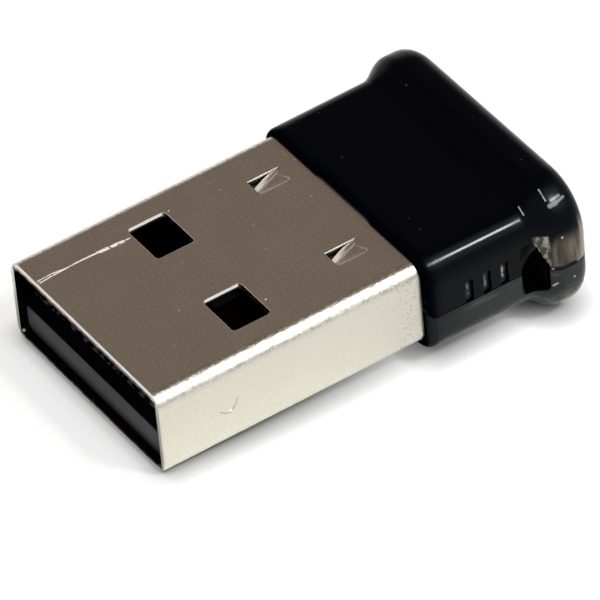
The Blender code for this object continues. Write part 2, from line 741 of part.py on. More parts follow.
def make_small_part(name, size, place, turn, below, datum, finish):
    """A two-ended part: a body between slightly fuller end caps."""
    length, width, height = size
    cap = length * 0.24
    recess = 0.00002
    half_l = length / 2.0
    half_w = width / 2.0
    full = rounded_outline(-half_w, half_w, 0.0, height, 0.00005, 2)
    slim = rounded_outline(-half_w + recess, half_w - recess,
                           recess, height - recess, 0.00004, 2)
    end = rounded_outline(-half_w + recess, half_w - recess,
                          recess, height - recess, 0.00003, 2)
    bm = bmesh.new()
    loft(bm, [(-half_l, end), (-half_l + recess, full), (-half_l + cap, full),
              (-half_l + cap + recess, slim), (half_l - cap - recess, slim),
              (half_l - cap, full), (half_l - recess, full), (half_l, end)])
    part = add_object(name, bm, datum, finish)
    seat_on_board(part, place, turn + 90.0, below)


def make_crystal(place, turn, below, datum, finish):
    """A ceramic tray with a seam-welded metal lid."""
    length, width, height = CRYSTAL
    rim = 0.00010
    lid_height = 0.00020
    tray = rounded_outline(-length / 2.0, length / 2.0, -width / 2.0, width / 2.0, 0.0002, 4)
    lid = rounded_outline(-length / 2.0 + rim, length / 2.0 - rim,
                          -width / 2.0 + rim, width / 2.0 - rim, 0.00025, 4)
    crown = rounded_outline(-length / 2.0 + rim * 1.5, length / 2.0 - rim * 1.5,
                            -width / 2.0 + rim * 1.5, width / 2.0 - rim * 1.5, 0.00020, 4)
    bm = bmesh.new()
    levels = []
    for level, ring in ((0.0, tray), (height - lid_height, tray), (height - lid_height, lid),
                        (height - rim / 2.0, lid), (height, crown)):
        levels.append([bm.verts.new((a, b, level)) for a, b in ring])
    for low, high in zip(levels, levels[1:]):
        for k in range(len(low)):
            after = (k + 1) % len(low)
            bm.faces.new((low[k], low[after], high[after], high[k]))
    bm.faces.new(levels[0])
    bm.faces.new(levels[-1])
    part = add_object("crystal", bm, datum, finish)
    seat_on_board(part, place, turn, below)


def make_led(place, turn, datum, finish):
    """A lamp: a flat base with a clear lens moulded over it."""
    length, width, height = LED
    base = height * 0.4
    half_w = width / 2.0
    bm = bmesh.new()
    foot = rounded_outline(-half_w, half_w, 0.0, base, 0.00003, 2)
    lens_end = rounded_outline(-half_w + 0.00002, half_w - 0.00002, 0.0, height, 0.00006, 2)
    half_l = length / 2.0
    shoulder = length * 0.18
    loft(bm, [(-half_l, foot), (-half_l + shoulder, foot),
              (-half_l + shoulder + 0.00006, lens_end),
              (half_l - shoulder - 0.00006, lens_end),
              (half_l - shoulder, foot), (half_l, foot)])
    part = add_object("status_lamp", bm, datum, finish)
    seat_on_board(part, place, turn + 90.0)


def place_board_parts(datum, epoxy, ceramic, tin, lamp, white):
    """Lay out both sides of the board in rows and columns from its edges."""
    row = SOLDER_END + PART_SPACING + SMALL_PART[1] / 2.0
    chip_y = BOARD_REAR - PART_STANDOFF - PART_SPACING - RADIO_CHIP[0] / 2.0
    chip_x = RADIO_CHIP[1] / 2.0 - POST_X / 3.0
    make_leadless_chip("radio_chip", RADIO_CHIP, 6, (chip_x, chip_y), 0, False, datum, epoxy)
    regulator_x = chip_x - RADIO_CHIP[1] / 2.0 - 2.0 * PART_SPACING - REGULATOR_SPAN / 2.0
    make_regulator((regulator_x, chip_y), 90, datum, epoxy)
    for k, (name, finish) in enumerate((("capacitor_1", ceramic), ("capacitor_2", ceramic),
                                        ("resistor_1", epoxy))):
        x = chip_x + (k - 1) * (SMALL_PART[0] + 3.0 * PART_SPACING)
        make_small_part(name, SMALL_PART, (x, row), 0, False, datum, finish)
    column = chip_x + RADIO_CHIP[1] / 2.0 + 2.0 * PART_SPACING + LED[1] / 2.0
    lamp_y = SOLDER_END + PART_SPACING + LED[0] / 2.0
    make_led((column, lamp_y), 90, datum, lamp)
    inductor_y = lamp_y + (LED[0] + INDUCTOR[0]) / 2.0 + PART_SPACING
    make_small_part("inductor", INDUCTOR, (column, inductor_y), 90, False, datum, ceramic)
    side_y = POST_Y + (POST_DIAMETER + SMALL_PART[0]) / 2.0 + 2.0 * PART_SPACING
    side_x = column + (INDUCTOR[1] + SMALL_PART[1]) / 2.0 + 2.0 * PART_SPACING
    make_small_part("capacitor_3", SMALL_PART, (side_x, side_y), 90, False, datum, ceramic)

    under_y = BOARD_FRONT + POST_FROM_BOARD_FRONT + MEMORY_CHIP[1] / 2.0
    make_leadless_chip("memory_chip", MEMORY_CHIP, 4, (chip_x, under_y), 0, True, datum, epoxy)
    crystal_x = chip_x - (MEMORY_CHIP[0] + CRYSTAL[0]) / 2.0 - 3.0 * PART_SPACING
    make_crystal((crystal_x, under_y + PART_SPACING), 0, True, datum, tin)
    antenna_y = BOARD_REAR - PART_SPACING - CHIP_ANTENNA[1] / 2.0
    make_small_part("chip_antenna", CHIP_ANTENNA, (chip_x - SMALL_PART[0], antenna_y), 0,
                    True, datum, white)
    under_x = chip_x + (MEMORY_CHIP[0] + SMALL_PART[1]) / 2.0 + 3.0 * PART_SPACING
    make_small_part("capacitor_4", SMALL_PART, (under_x, under_y), 90, True, datum, ceramic)
    make_small_part("resistor_2", SMALL_PART, (under_x, under_y + SMALL_PART[0] + PART_SPACING),
                    90, True, datum, epoxy)


def cover_stations():
    """The housing's outlines from its front edge to its rear face."""
    opening = rounded_outline(-CAVITY_HALF - FRONT_LIP, CAVITY_HALF + FRONT_LIP,
                              CAVITY_LOW - FRONT_LIP, CAVITY_HIGH + FRONT_LIP,
                              PLUG_CORNER + COVER_FIT + FRONT_LIP)

    def body(y):
        grow = BODY_DRAFT * (y - PLUG_REACH)
        return rounded_outline(-BODY_HALF - grow, BODY_HALF + grow,
                               BODY_BOTTOM, BODY_TOP, BODY_CORNER)

    flange = rounded_outline(-FLANGE_HALF, FLANGE_HALF, FLANGE_BOTTOM, FLANGE_TOP, FLANGE_CORNER)
    rear = rounded_outline(-FLANGE_HALF + REAR_ROUND, FLANGE_HALF - REAR_ROUND,
                           FLANGE_BOTTOM + REAR_ROUND, FLANGE_TOP - REAR_ROUND,
                           FLANGE_CORNER - REAR_ROUND)
    stations = []
    for k in range(FILLET_STEPS + 1):
        angle = math.radians(90.0 * k / FILLET_STEPS)
        y = PLUG_REACH + FRONT_ROUND * (1.0 - math.cos(angle))
        stations.append((y, blend(opening, body(y), math.sin(angle))))
    for k in range(FLARE_STEPS + 1):
        step = k / FLARE_STEPS
        share = step * step * (3.0 - 2.0 * step)
        y = PLUG_REACH + FLARE_START + FLARE_LENGTH * step
        stations.append((y, blend(body(y), flange, share)))
    for k in range(FILLET_STEPS + 1):
        angle = math.radians(90.0 * k / FILLET_STEPS)
        y = COVER_REAR - REAR_ROUND * (1.0 - math.sin(angle))
        stations.append((y, blend(flange, rear, 1.0 - math.cos(angle))))
    return stations


def parting_cut(bm, shift, side):
    """Everything on one side of the parting line, which rises at the front."""
    centre = (PLUG_REACH + PARTING_RISE, PARTING + PARTING_RISE)
    curve = arc(centre, PARTING_RISE - shift, 180, 270, 6)
    line = [(PLUG_REACH - MARGIN, centre[1])] + curve
    line.append((COVER_REAR + MARGIN, PARTING + shift))
    far = (FLANGE_TOP if side > 0 else FLANGE_BOTTOM) + side * MARGIN
    outline = line + [(COVER_REAR + MARGIN, far), (PLUG_REACH - MARGIN, far)]
    prism(bm, outline, -FLANGE_HALF - MARGIN, FLANGE_HALF + MARGIN, "X")


def make_cavity(name, with_rebates, datum):
    """The hollow in a cover: the shell's own section, clear of the eye."""
    bm = bmesh.new()
    ring = rounded_outline(-CAVITY_HALF, CAVITY_HALF, CAVITY_LOW, CAVITY_HIGH,
                           PLUG_CORNER + COVER_FIT)
    loft(bm, [(PLUG_REACH - MARGIN, ring), (CAVITY_REAR, ring)])
    cavity = add_cutter(name + "_cavity", bm, datum)
    bm = bmesh.new()
    eye_cylinder(bm, EYE_OUTER_RADIUS + EYE_WALL, FLANGE_BOTTOM, FLANGE_TOP)
    combine(cavity, add_cutter(name + "_eye_wall", bm, datum), "DIFFERENCE")
    if with_rebates:
        for side, label in ((-1, "left"), (1, "right")):
            bm = bmesh.new()
            edges = sorted((side * (CAVITY_HALF - BITE), side * (LIP_OUTER + LIP_FIT)))
            box(bm, edges, (LIP_START - LIP_FIT, LIP_END + LIP_FIT),
                (PARTING - MARGIN, PARTING + LIP_HEIGHT + LIP_FIT))
            combine(cavity, add_cutter(name + "_rebate_" + label, bm, datum), "UNION")
    return cavity


def make_eye_tunnel(name, datum):
    """A rounded section swept round the eye's post."""
    middle = (EYE_POST_RADIUS + EYE_OUTER_RADIUS) / 2.0
    half = (EYE_OUTER_RADIUS - EYE_POST_RADIUS) / 2.0
    outline = rounded_outline(middle - half, middle + half, EYE_LOW, EYE_HIGH, EYE_CORNER, 4)
    bm = bmesh.new()
    start = math.radians(150.0)
    sweep = math.radians(165.0)
    verts = [bm.verts.new((EYE_X + a * math.cos(start), EYE_Y + a * math.sin(start), b))
             for a, b in outline]
    face = bm.faces.new(verts)
    swept = bmesh.ops.spin(bm, geom=[face], cent=(EYE_X, EYE_Y, 0.0), axis=(0.0, 0.0, 1.0),
                           angle=sweep, steps=22, use_duplicate=False)
    assert swept["geom_last"]
    return add_cutter(name + "_eye_tunnel", bm, datum)


def make_upper_cover(datum, finish):
    bm = bmesh.new()
    loft(bm, cover_stations())
    cover = add_object("upper_cover", bm, datum, finish)

    bm = bmesh.new()
    parting_cut(bm, PARTING_GAP / 2.0, -1)
    combine(cover, add_cutter("below_parting", bm, datum), "DIFFERENCE")
    combine(cover, make_cavity("upper", True, datum), "DIFFERENCE")

    for side, label, end in ((-1, "left", RIB_END_LEFT), (1, "right", RIB_END_RIGHT)):
        bm = bmesh.new()
        outer = CAVITY_HALF - RIB_INSET
        edges = sorted((side * outer, side * (outer - RIB_THICKNESS)))
        box(bm, edges, (LEDGE_FRONT, end), (BOARD_TOP + SEAT_GAP, CAVITY_HIGH + BITE))
        combine(cover, add_cutter("rib_" + label, bm, datum), "UNION")
        for k, y in enumerate(NOTCHES):
            bm = bmesh.new()
            edges = sorted((side * LIP_OUTER, side * (BODY_HALF + MARGIN)))
            half = NOTCH_WIDTH / 2.0
            box(bm, edges, (y - half, y + half), (PARTING - MARGIN, PARTING + NOTCH_HEIGHT))
            combine(cover, add_cutter("notch_%s_%d" % (label, k), bm, datum), "DIFFERENCE")

    bm = bmesh.new()
    half = FRONT_RELIEF_WIDTH / 2.0
    outline = [(-half - FRONT_RELIEF_RUN / 2.0, PLUG_REACH - MARGIN),
               (half + FRONT_RELIEF_RUN / 2.0, PLUG_REACH - MARGIN),
               (half + FRONT_RELIEF_RUN / 2.0, PLUG_REACH),
               (half - FRONT_RELIEF_RUN / 2.0, PLUG_REACH + FRONT_RELIEF_DEPTH),
               (-half + FRONT_RELIEF_RUN / 2.0, PLUG_REACH + FRONT_RELIEF_DEPTH),
               (-half - FRONT_RELIEF_RUN / 2.0, PLUG_REACH)]
    prism(bm, outline, CAVITY_HIGH - BITE, BODY_TOP + MARGIN, "Z")
    combine(cover, add_cutter("front_relief", bm, datum), "DIFFERENCE")
    combine(cover, make_eye_tunnel("upper", datum), "DIFFERENCE")
    return cover


def make_lower_cover(datum, finish):
    bm = bmesh.new()
    loft(bm, cover_stations())
    cover = add_object("lower_cover", bm, datum, finish)

    bm = bmesh.new()
    parting_cut(bm, -PARTING_GAP / 2.0, 1)
    combine(cover, add_cutter("above_parting", bm, datum), "DIFFERENCE")
    combine(cover, make_cavity("lower", False, datum), "DIFFERENCE")

    for side, label, end in ((-1, "left", RIB_END_LEFT), (1, "right", RIB_END_RIGHT)):
        bm = bmesh.new()
        edges = sorted((side * (CAVITY_HALF + BITE), side * (CAVITY_HALF - LEDGE_WIDTH)))
        box(bm, edges, (LEDGE_FRONT, end), (CAVITY_LOW - BITE, BOARD_BOTTOM - SEAT_GAP))
        combine(cover, add_cutter("ledge_" + label, bm, datum), "UNION")

        bm = bmesh.new()
        post = arc((side * POST_X, POST_Y), POST_DIAMETER / 2.0, 0, 360, CIRCLE_STEPS)
        prism(bm, post[:-1], CAVITY_LOW - BITE, BOARD_TOP + POST_ABOVE_BOARD, "Z")
        combine(cover, add_cutter("post_" + label, bm, datum), "UNION")

        bm = bmesh.new()
        edges = sorted((side * LIP_INNER, side * LIP_OUTER))
        box(bm, edges, (LIP_START, LIP_END), (PARTING - 3.0 * BITE, PARTING + LIP_HEIGHT))
        combine(cover, add_cutter("lip_" + label, bm, datum), "UNION")
        for k, y in enumerate(NOTCHES):
            bm = bmesh.new()
            edges = sorted((side * (LIP_OUTER - BITE), side * (BODY_HALF - TOOTH_SETBACK)))
            half = TOOTH_WIDTH / 2.0
            box(bm, edges, (y - half, y + half), (PARTING - 2.0 * BITE, PARTING + TOOTH_HEIGHT))
            combine(cover, add_cutter("tooth_%s_%d" % (label, k), bm, datum), "UNION")

    combine(cover, make_eye_tunnel("lower", datum), "DIFFERENCE")
    return cover


def build():
    clear_scene()
    datum = bpy.data.objects.new("plug_datum", None)
    bpy.context.scene.collection.objects.link(datum)
    datum.location = (0.0, -COVER_REAR / 2.0, -FLANGE_BOTTOM)

    steel = make_finish("nickel_steel", (0.42, 0.38, 0.33), 0.28, 1.0)
    black = make_finish("black_moulding", (0.012, 0.013, 0.016), 0.35)
    gold = make_finish("gold_contact", (0.80, 0.58, 0.28), 0.22, 1.0)
    tin = make_finish("solder_tin", (0.62, 0.62, 0.60), 0.35, 1.0)
    mask = make_finish("board_green", (0.02, 0.12, 0.05), 0.40)
    epoxy = make_finish("chip_epoxy", (0.02, 0.02, 0.022), 0.55)
    ceramic = make_finish("ceramic_tan", (0.45, 0.36, 0.25), 0.50)
    lamp = make_finish("lamp_lens", (0.75, 0.80, 0.85), 0.15)
    white = make_finish("antenna_ceramic", (0.80, 0.80, 0.76), 0.45)
    smoke_upper = make_finish("smoky_plastic_upper", (0.010, 0.012, 0.016), 0.16)
    smoke_lower = make_finish("smoky_plastic_lower", (0.030, 0.032, 0.036), 0.18)

    make_plug_shell(datum, steel)
    make_contact_block(datum, black)
    make_contacts(datum, gold)
    make_solder(datum, tin)
    make_board(datum, mask)
    place_board_parts(datum, epoxy, ceramic, tin, lamp, white)
    make_upper_cover(datum, smoke_upper)
    make_lower_cover(datum, smoke_lower)


build()
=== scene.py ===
"""A short USB radio adapter lying on a white sweep, dressed for its picture.

The steel plug shell and the two halves of the smoky housing are shown by
merged copies of their solids, with their cut and moulded edges eased. The
upper half also has the torn skin at the lanyard opening. Every other piece
keeps its solid and gets its finish here.

Places and sizes are in millimetres in the plug's own frame, unless they are
multiplied by MM: x across the plug, y from the mouth to the grip, z upwards.
"""
import math

import bmesh
import bpy
from mathutils import Matrix, Vector


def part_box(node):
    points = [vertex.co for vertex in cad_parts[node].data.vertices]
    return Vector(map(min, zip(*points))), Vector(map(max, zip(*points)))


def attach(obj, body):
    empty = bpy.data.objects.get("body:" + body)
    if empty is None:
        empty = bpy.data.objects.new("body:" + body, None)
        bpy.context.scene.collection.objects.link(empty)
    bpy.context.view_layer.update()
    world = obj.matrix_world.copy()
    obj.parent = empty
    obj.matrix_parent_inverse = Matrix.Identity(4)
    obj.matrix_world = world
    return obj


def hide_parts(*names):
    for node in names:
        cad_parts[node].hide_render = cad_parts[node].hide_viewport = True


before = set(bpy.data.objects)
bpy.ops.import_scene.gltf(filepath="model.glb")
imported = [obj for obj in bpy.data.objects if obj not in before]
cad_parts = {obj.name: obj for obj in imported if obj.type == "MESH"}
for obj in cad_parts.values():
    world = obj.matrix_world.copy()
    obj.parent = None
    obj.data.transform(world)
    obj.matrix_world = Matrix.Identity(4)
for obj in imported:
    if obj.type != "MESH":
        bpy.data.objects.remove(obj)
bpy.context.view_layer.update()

MM = 0.001

# The plug's own frame has y = 0 at the mouth and z = 0 under the shell
PLUG_ORIGIN = Vector((0.0, -11.0, 1.62)) * MM

# Vertices closer than this are one, and faces that turn less are one plane
MERGE_DISTANCE = 0.0002
FLAT_ANGLE = 0.4

# How far an edge may lie from the level at which it is looked for
LEVEL_REACH = 0.01

# Plug shell
SHELL_HALF = 6.0
SHELL_TOP = 4.5
SHELL_SHARP = 35.0
HOLLOW_DEPTH = 0.28
WINDOW_X = (1.78, 4.28)
WINDOW_Y = (5.1, 7.1)
WINDOW_REACH = 0.03
WINDOW_ROLLOVER = 0.07
EASE_SEGMENTS = 2

# Housing: the edges of its halves at the parting line lie further from its
# middle than PARTING_HALF, across or along
LOWER_EDGE = 1.725
UPPER_EDGE = 1.775
PARTING_EASE = 0.05
PARTING_HALF = (6.3, 3.9)
HOUSING_MIDDLE = 17.9
HOUSING_X = (-9.0, 9.0)
HOUSING_Y = (13.0, 23.0)
HOUSING_SHARP = 30.0
NOTCHES = (15.94, 16.88, 17.82)

# A torn skin that closes the upper corner of the lanyard opening: for each
# place along y, how far out the flare stands there and how low the skin hangs
TORN_SKIN = (
    (19.36, 6.615, 3.30), (19.45, 6.665, 3.14), (19.52, 6.710, 3.08),
    (19.57, 6.747, 2.80), (19.64, 6.800, 2.74), (19.70, 6.846, 2.46),
    (19.78, 6.911, 2.38), (19.84, 6.960, 2.14), (19.95, 7.046, 2.08),
)
TORN_SKIN_TOP = 3.45
TORN_SKIN_DEPTHS = (0.02, 0.12)

# Marks of use, and painted highlights. A line has its two ends and its width, and a
# spot has its centre and its radius. The scratches lie on top of the plug, in x and y, and
# the nick on its side, in y and z. The glint by the nick, the glint at the mouth's inner
# corner, the strokes on the grip's corner and the lines and spots on the housing's
# halves are painted highlights
SCRATCHES = (
    ((-3.87, 0.15), (-3.92, 0.88), 0.045),
    ((-3.72, 0.18), (-3.78, 0.80), 0.055),
    ((-3.92, 0.88), (-3.84, 1.46), 0.045),
    ((-3.78, 0.80), (-3.84, 2.15), 0.055),
    ((-3.84, 2.15), (-3.83, 2.95), 0.07),
    ((-3.83, 2.95), (-3.76, 4.21), 0.065),
    ((-3.87, 3.25), (-3.80, 4.60), 0.04),
    ((-3.74, 3.35), (-3.67, 4.60), 0.04),
    ((-3.76, 4.21), (-3.74, 4.93), 0.045),
)
NICK = (
    ((3.98, 2.475), (3.80, 2.12), 0.055),
    ((3.80, 2.12), (3.707, 1.964), 0.08),
    ((3.035, 2.13), (3.308, 1.909), 0.055),
    ((3.308, 1.909), (3.534, 1.856), 0.055),
)
NICK_GLINT = ((SHELL_HALF, 3.54, 1.98), 0.10)
MOUTH_CORNER_GLINT = ((-5.58, 0.07, 0.46), 0.105)
GRIP_GLINT_STROKES = (
    ((6.53, 20.42, 4.88), (6.52, 20.74, 4.89), 0.15),
    ((6.51, 20.84, 4.90), (6.43, 21.20, 4.95), 0.09),
    ((6.38, 20.60, 5.01), (6.34, 21.04, 5.05), 0.09),
)
UPPER_LINES = (
    ((5.61, 19.38, 4.77), (6.00, 19.36, 4.58), 0.045),
    ((5.77, 20.37, 5.36), (6.30, 20.36, 5.06), 0.045),
)
UPPER_SPOTS = (
    ((7.11, 20.00, 1.80), 0.08),
    ((7.27, 20.47, 3.52), 0.08),
    ((7.00, 21.50, 4.30), 0.09),
)
LOWER_LINES = (((7.08, 19.98, 0.84), (7.20, 20.12, 0.97), 0.07),)
LOWER_SPOTS = (((7.35, 20.95, 1.02), 0.07),)

# The white sweep. The adapter touches it under the mouth and under the grip.
# It gives one tone to the light and another to the camera, which also sees it
# lifted, but for a painted contact shadow along the adapter
FLOOR_RADIUS = 600.0
FLOOR_SEGMENTS = 96
REST_AT_MOUTH = Vector((0.0, 0.0, 0.0))
REST_AT_GRIP = Vector((0.0, 20.9, -1.62))
FLOOR_TONE = 0.92
FLOOR_TONE_SEEN = 0.28
FLOOR_LIFT = 0.75
FLOOR_CONTACT_SHADOW = 1.0
CONTACT_SHADOW_REACH = 1.25
CONTACT_SHADOW_SAMPLES = 8

# The room. A spread gives, in degrees from its direction, where a light ends
# and where it is full
WALL_TONE = 0.75
CARD_DIRECTION = Vector((-0.70, 0.02, 0.70))
CARD_SPREAD = (68, 48)
CARD_FOOT = (0.20, 0.40)
LAMP_DIRECTION = Vector((0.50, 0.39, 0.77))
LAMP_HEART = 130.0
LAMP_HEART_SPREAD = (5.0, 0.5)
LAMP_SKIRT = 1.8
LAMP_SKIRT_SPREAD = (30, 11)

# The camera
CAMERA_PLACE = Vector((230.944, -135.436, 238.772)) * MM
CAMERA_RIGHT = Vector((0.55875064, 0.82620928, -0.07194411))
CAMERA_UP = Vector((-0.52053534, 0.41691318, 0.74513512))
CAMERA_BACK = Vector((0.645632, -0.37889527, 0.66302164))
CAMERA_LENS = 482.06
CAMERA_SENSOR = 36.0
CAMERA_NEAR = 0.01
CAMERA_FAR = 20.0


def at(x, y, z):
    """A point given in millimetres in the plug's frame, in the part's frame."""
    return PLUG_ORIGIN + Vector((x, y, z)) * MM


# Building blocks of the finishes

def node(tree, kind, inputs=None, **settings):
    """Adds a node, with its settings, its values and what feeds it."""
    made = tree.nodes.new(kind)
    for key, value in settings.items():
        setattr(made, key, value)
    for key, value in (inputs or {}).items():
        if isinstance(value, bpy.types.NodeSocket):
            tree.links.new(value, made.inputs[key])
        else:
            made.inputs[key].default_value = value
    return made


def calc(tree, operation, *values, clamp=False):
    """One step of arithmetic on numbers or sockets."""
    made = node(tree, "ShaderNodeMath", dict(enumerate(values)),
                operation=operation, use_clamp=clamp)
    return made.outputs[0]


def scaled(tree, value, factor):
    """A value times a factor."""
    return calc(tree, "MULTIPLY", value, factor)


def product(tree, *masks):
    """What several masks have in common."""
    both = masks[0]
    for mask in masks[1:]:
        both = calc(tree, "MULTIPLY", both, mask)
    return both


def strongest(tree, masks):
    """The highest of several masks."""
    top = masks[0]
    for mask in masks[1:]:
        top = calc(tree, "MAXIMUM", top, mask)
    return top


def ramp_between(tree, value, start, end):
    """0 at the start and 1 at the end, either of which may be the higher."""
    made = node(tree, "ShaderNodeMapRange",
                {"Value": value, "From Min": start, "From Max": end},
                interpolation_type="SMOOTHSTEP")
    return made.outputs["Result"]


def spread(tree, value, low, high):
    """A texture's 0 to 1 as a number from low to high."""
    made = node(tree, "ShaderNodeMapRange",
                {"Value": value, "To Min": low, "To Max": high})
    return made.outputs["Result"]


def inside(tree, axis, low, high, soft):
    """1 between two places along an axis, fading over a soft edge."""
    rise = ramp_between(tree, axis, low - soft, low + soft)
    fall = ramp_between(tree, axis, high + soft, high - soft)
    return calc(tree, "MULTIPLY", rise, fall)


def colour(red, green, blue):
    """A colour as the nodes take it."""
    return (red, green, blue, 1.0)


def grey(tone):
    """A colour with three equal parts."""
    return colour(tone, tone, tone)


def toned(shade, factor):
    """A colour, darker or paler by a factor."""
    return colour(*(factor * part for part in shade[:3]))


def mixed(tree, share, first, second):
    """The first colour where the share is 0 and the second where it is 1."""
    made = node(tree, "ShaderNodeMix", {0: share, 6: first, 7: second},
                data_type="RGBA")
    return made.outputs[2]


def layered(tree, shown, *layers):
    """A colour with others laid over it in turn, each through its mask."""
    for mask, cover in layers:
        shown = mixed(tree, mask, shown, cover)
    return shown


def place_of(tree):
    """Object coordinates in millimetres, counted from the plug's frame."""
    seen = node(tree, "ShaderNodeTexCoord").outputs["Object"]
    made = node(tree, "ShaderNodeMapping",
                {"Vector": seen, "Location": -PLUG_ORIGIN / MM, "Scale": (1 / MM,) * 3})
    return made.outputs["Vector"]


def axes_of(tree, place):
    """The x, y and z of a place."""
    return node(tree, "ShaderNodeSeparateXYZ", {"Vector": place}).outputs


def facing(tree):
    """The x, y and z of the direction in which each face looks."""
    return axes_of(tree, node(tree, "ShaderNodeNewGeometry").outputs["True Normal"])


def noise(tree, place, scale, detail=3.0, stretch=(1.0, 1.0, 1.0)):
    """Soft noise with so many features to the millimetre."""
    held = node(tree, "ShaderNodeMapping", {"Vector": place, "Scale": stretch})
    made = node(tree, "ShaderNodeTexNoise",
                {"Vector": held.outputs["Vector"], "Scale": scale, "Detail": detail})
    return made.outputs["Fac"]


def scratch(tree, place, first, second, width):
    """1 along a straight scratch between two points."""
    start = Vector(first)
    run = Vector(second) - start
    offset = node(tree, "ShaderNodeVectorMath",
                  {0: place, 1: start}, operation="SUBTRACT").outputs["Vector"]
    along = node(tree, "ShaderNodeVectorMath",
                 {0: offset, 1: run / run.length_squared},
                 operation="DOT_PRODUCT").outputs["Value"]
    kept = calc(tree, "ADD", along, 0.0, clamp=True)
    foot = node(tree, "ShaderNodeVectorMath", {0: run, "Scale": kept},
                operation="SCALE").outputs["Vector"]
    away = node(tree, "ShaderNodeVectorMath", {0: offset, 1: foot},
                operation="DISTANCE").outputs["Value"]
    return ramp_between(tree, away, width, width * 0.35)


def dot(tree, place, centre, radius):
    """1 on a small round spot."""
    away = node(tree, "ShaderNodeVectorMath", {0: place, 1: Vector(centre)},
                operation="DISTANCE").outputs["Value"]
    return ramp_between(tree, away, radius, radius * 0.4)


def glints(tree, place, lines, spots):
    """1 on bright lines and on bright spots."""
    return strongest(tree, [scratch(tree, place, *line) for line in lines]
                     + [dot(tree, place, *spot) for spot in spots])


def flecks(tree, place, scale, size, share):
    """1 on small scattered dots, in this share of a grid's cells."""
    cells = node(tree, "ShaderNodeTexVoronoi", {"Vector": place, "Scale": scale})
    away = cells.outputs["Distance"]
    near = ramp_between(tree, away, size * scale, 0.4 * size * scale)
    chance = axes_of(tree, cells.outputs["Color"])[0]
    return product(tree, near, calc(tree, "LESS_THAN", chance, share))


def bump(tree, height, depth):
    """A normal that follows a height, with a depth in millimetres."""
    made = node(tree, "ShaderNodeBump", {"Height": height, "Distance": depth * MM})
    return made.outputs["Normal"]


def new_finish(name, **values):
    """A material and its shader, with the values that are the same all over."""
    finish = bpy.data.materials.new(name)
    finish.use_nodes = True
    shader = finish.node_tree.nodes["Principled BSDF"]
    for key, value in values.items():
        shader.inputs[key.replace("_", " ")].default_value = value
    return finish, finish.node_tree, shader


def feed(tree, shader, **sockets):
    """Links sockets to the inputs of a shader."""
    for key, value in sockets.items():
        tree.links.new(value, shader.inputs[key.replace("_", " ")])


# Nickel-plated steel

STEEL = colour(0.65, 0.64, 0.55)
STEEL_CLOUD = colour(0.69, 0.68, 0.585)
STEEL_GRAIN = colour(0.79, 0.765, 0.665)
# Painted highlight, also the bright colour of the scratches and specks
STEEL_HIGHLIGHT_AND_SCRATCH = colour(0.97, 0.93, 0.86)
STEEL_DENT = colour(0.36, 0.34, 0.28)
STEEL_MOTTLE = colour(0.34, 0.30, 0.25)
STEEL_NICK = colour(0.30, 0.29, 0.24)
# Painted shade inside the shell
STEEL_HOLLOW_SHADE = colour(0.022, 0.020, 0.014)
# Painted shade on the cut walls that face back
STEEL_CUT_SHADE = colour(0.03, 0.028, 0.024)
# Painted shade on the mouth's lip, with painted reflections in patches
LIP_PAINTED_SHADE = colour(0.015, 0.013, 0.012)
LIP_PAINTED_REFLECTION = colour(0.26, 0.22, 0.22)


def sheared_faces(tree, y, z, sheet):
    """Masks on the cut faces of the top sheet: painted highlight, painted shade on the walls
    that face back, and painted highlights on the lances' bends.
    """
    look_x, look_y, look_z = facing(tree)
    at_lances = ramp_between(tree, y, 10.8, 11.0)
    # Painted highlight on the cut walls that face +x
    cut_highlight_foot = spread(tree, at_lances, 4.33, 4.41)
    cut_highlight = product(tree, sheet, ramp_between(tree, look_x, 0.85, 0.95),
                        calc(tree, "GREATER_THAN", z, cut_highlight_foot))
    # Painted shade on the torn cut walls that face back
    torn = product(tree, sheet, ramp_between(tree, look_z, 0.4, 0.2),
                   ramp_between(tree, look_x, 0.7, 0.5))
    # Painted highlights on the lances' creases, fuller where they curl
    steep = inside(tree, look_z, 0.20, 0.90, 0.02)
    slight = inside(tree, look_z, 0.90, 0.975, 0.01)
    curl = inside(tree, look_y, -0.20, -0.06, 0.01)
    curl_shine = scaled(tree, ramp_between(tree, y, 12.2, 11.3), 0.75)
    slight = product(tree, slight, mixed(tree, curl, grey(0.2), curl_shine))
    creases = product(tree, sheet, calc(tree, "ADD", steep, slight),
                      ramp_between(tree, look_x, 0.5, 0.3))
    return cut_highlight, torn, creases


def mouth_rim(tree, y, z, away_x, away_z):
    """Masks on the rim of the mouth: its painted highlight lines, and its lip of painted
    shade and painted reflections.
    """
    look_y = facing(tree)[1]
    rim = product(tree, ramp_between(tree, look_y, -0.4, -0.6),
                  ramp_between(tree, y, 0.06, 0.04))
    lines = product(tree, rim, strongest(tree, [
        ramp_between(tree, z, 4.36, 4.41), ramp_between(tree, z, 0.19, 0.11)]))
    shade = product(tree, rim, inside(tree, away_z, 1.90, 2.10, 0.02),
                    ramp_between(tree, away_x, 5.5, 5.3))
    return lines, shade


def marks_of_use(tree, place):
    """Masks of the ragged scratches on top and of the nick in the side."""
    ragged = ramp_between(tree, noise(tree, place, 7.0, detail=3.0), 0.28, 0.48)
    cuts = strongest(tree, [
        scratch(tree, place, (*first, SHELL_TOP), (*second, SHELL_TOP), width)
        for first, second, width in SCRATCHES])
    nick = strongest(tree, [
        scratch(tree, place, (SHELL_HALF, *first), (SHELL_HALF, *second), width)
        for first, second, width in NICK])
    return product(tree, cuts, ragged), nick


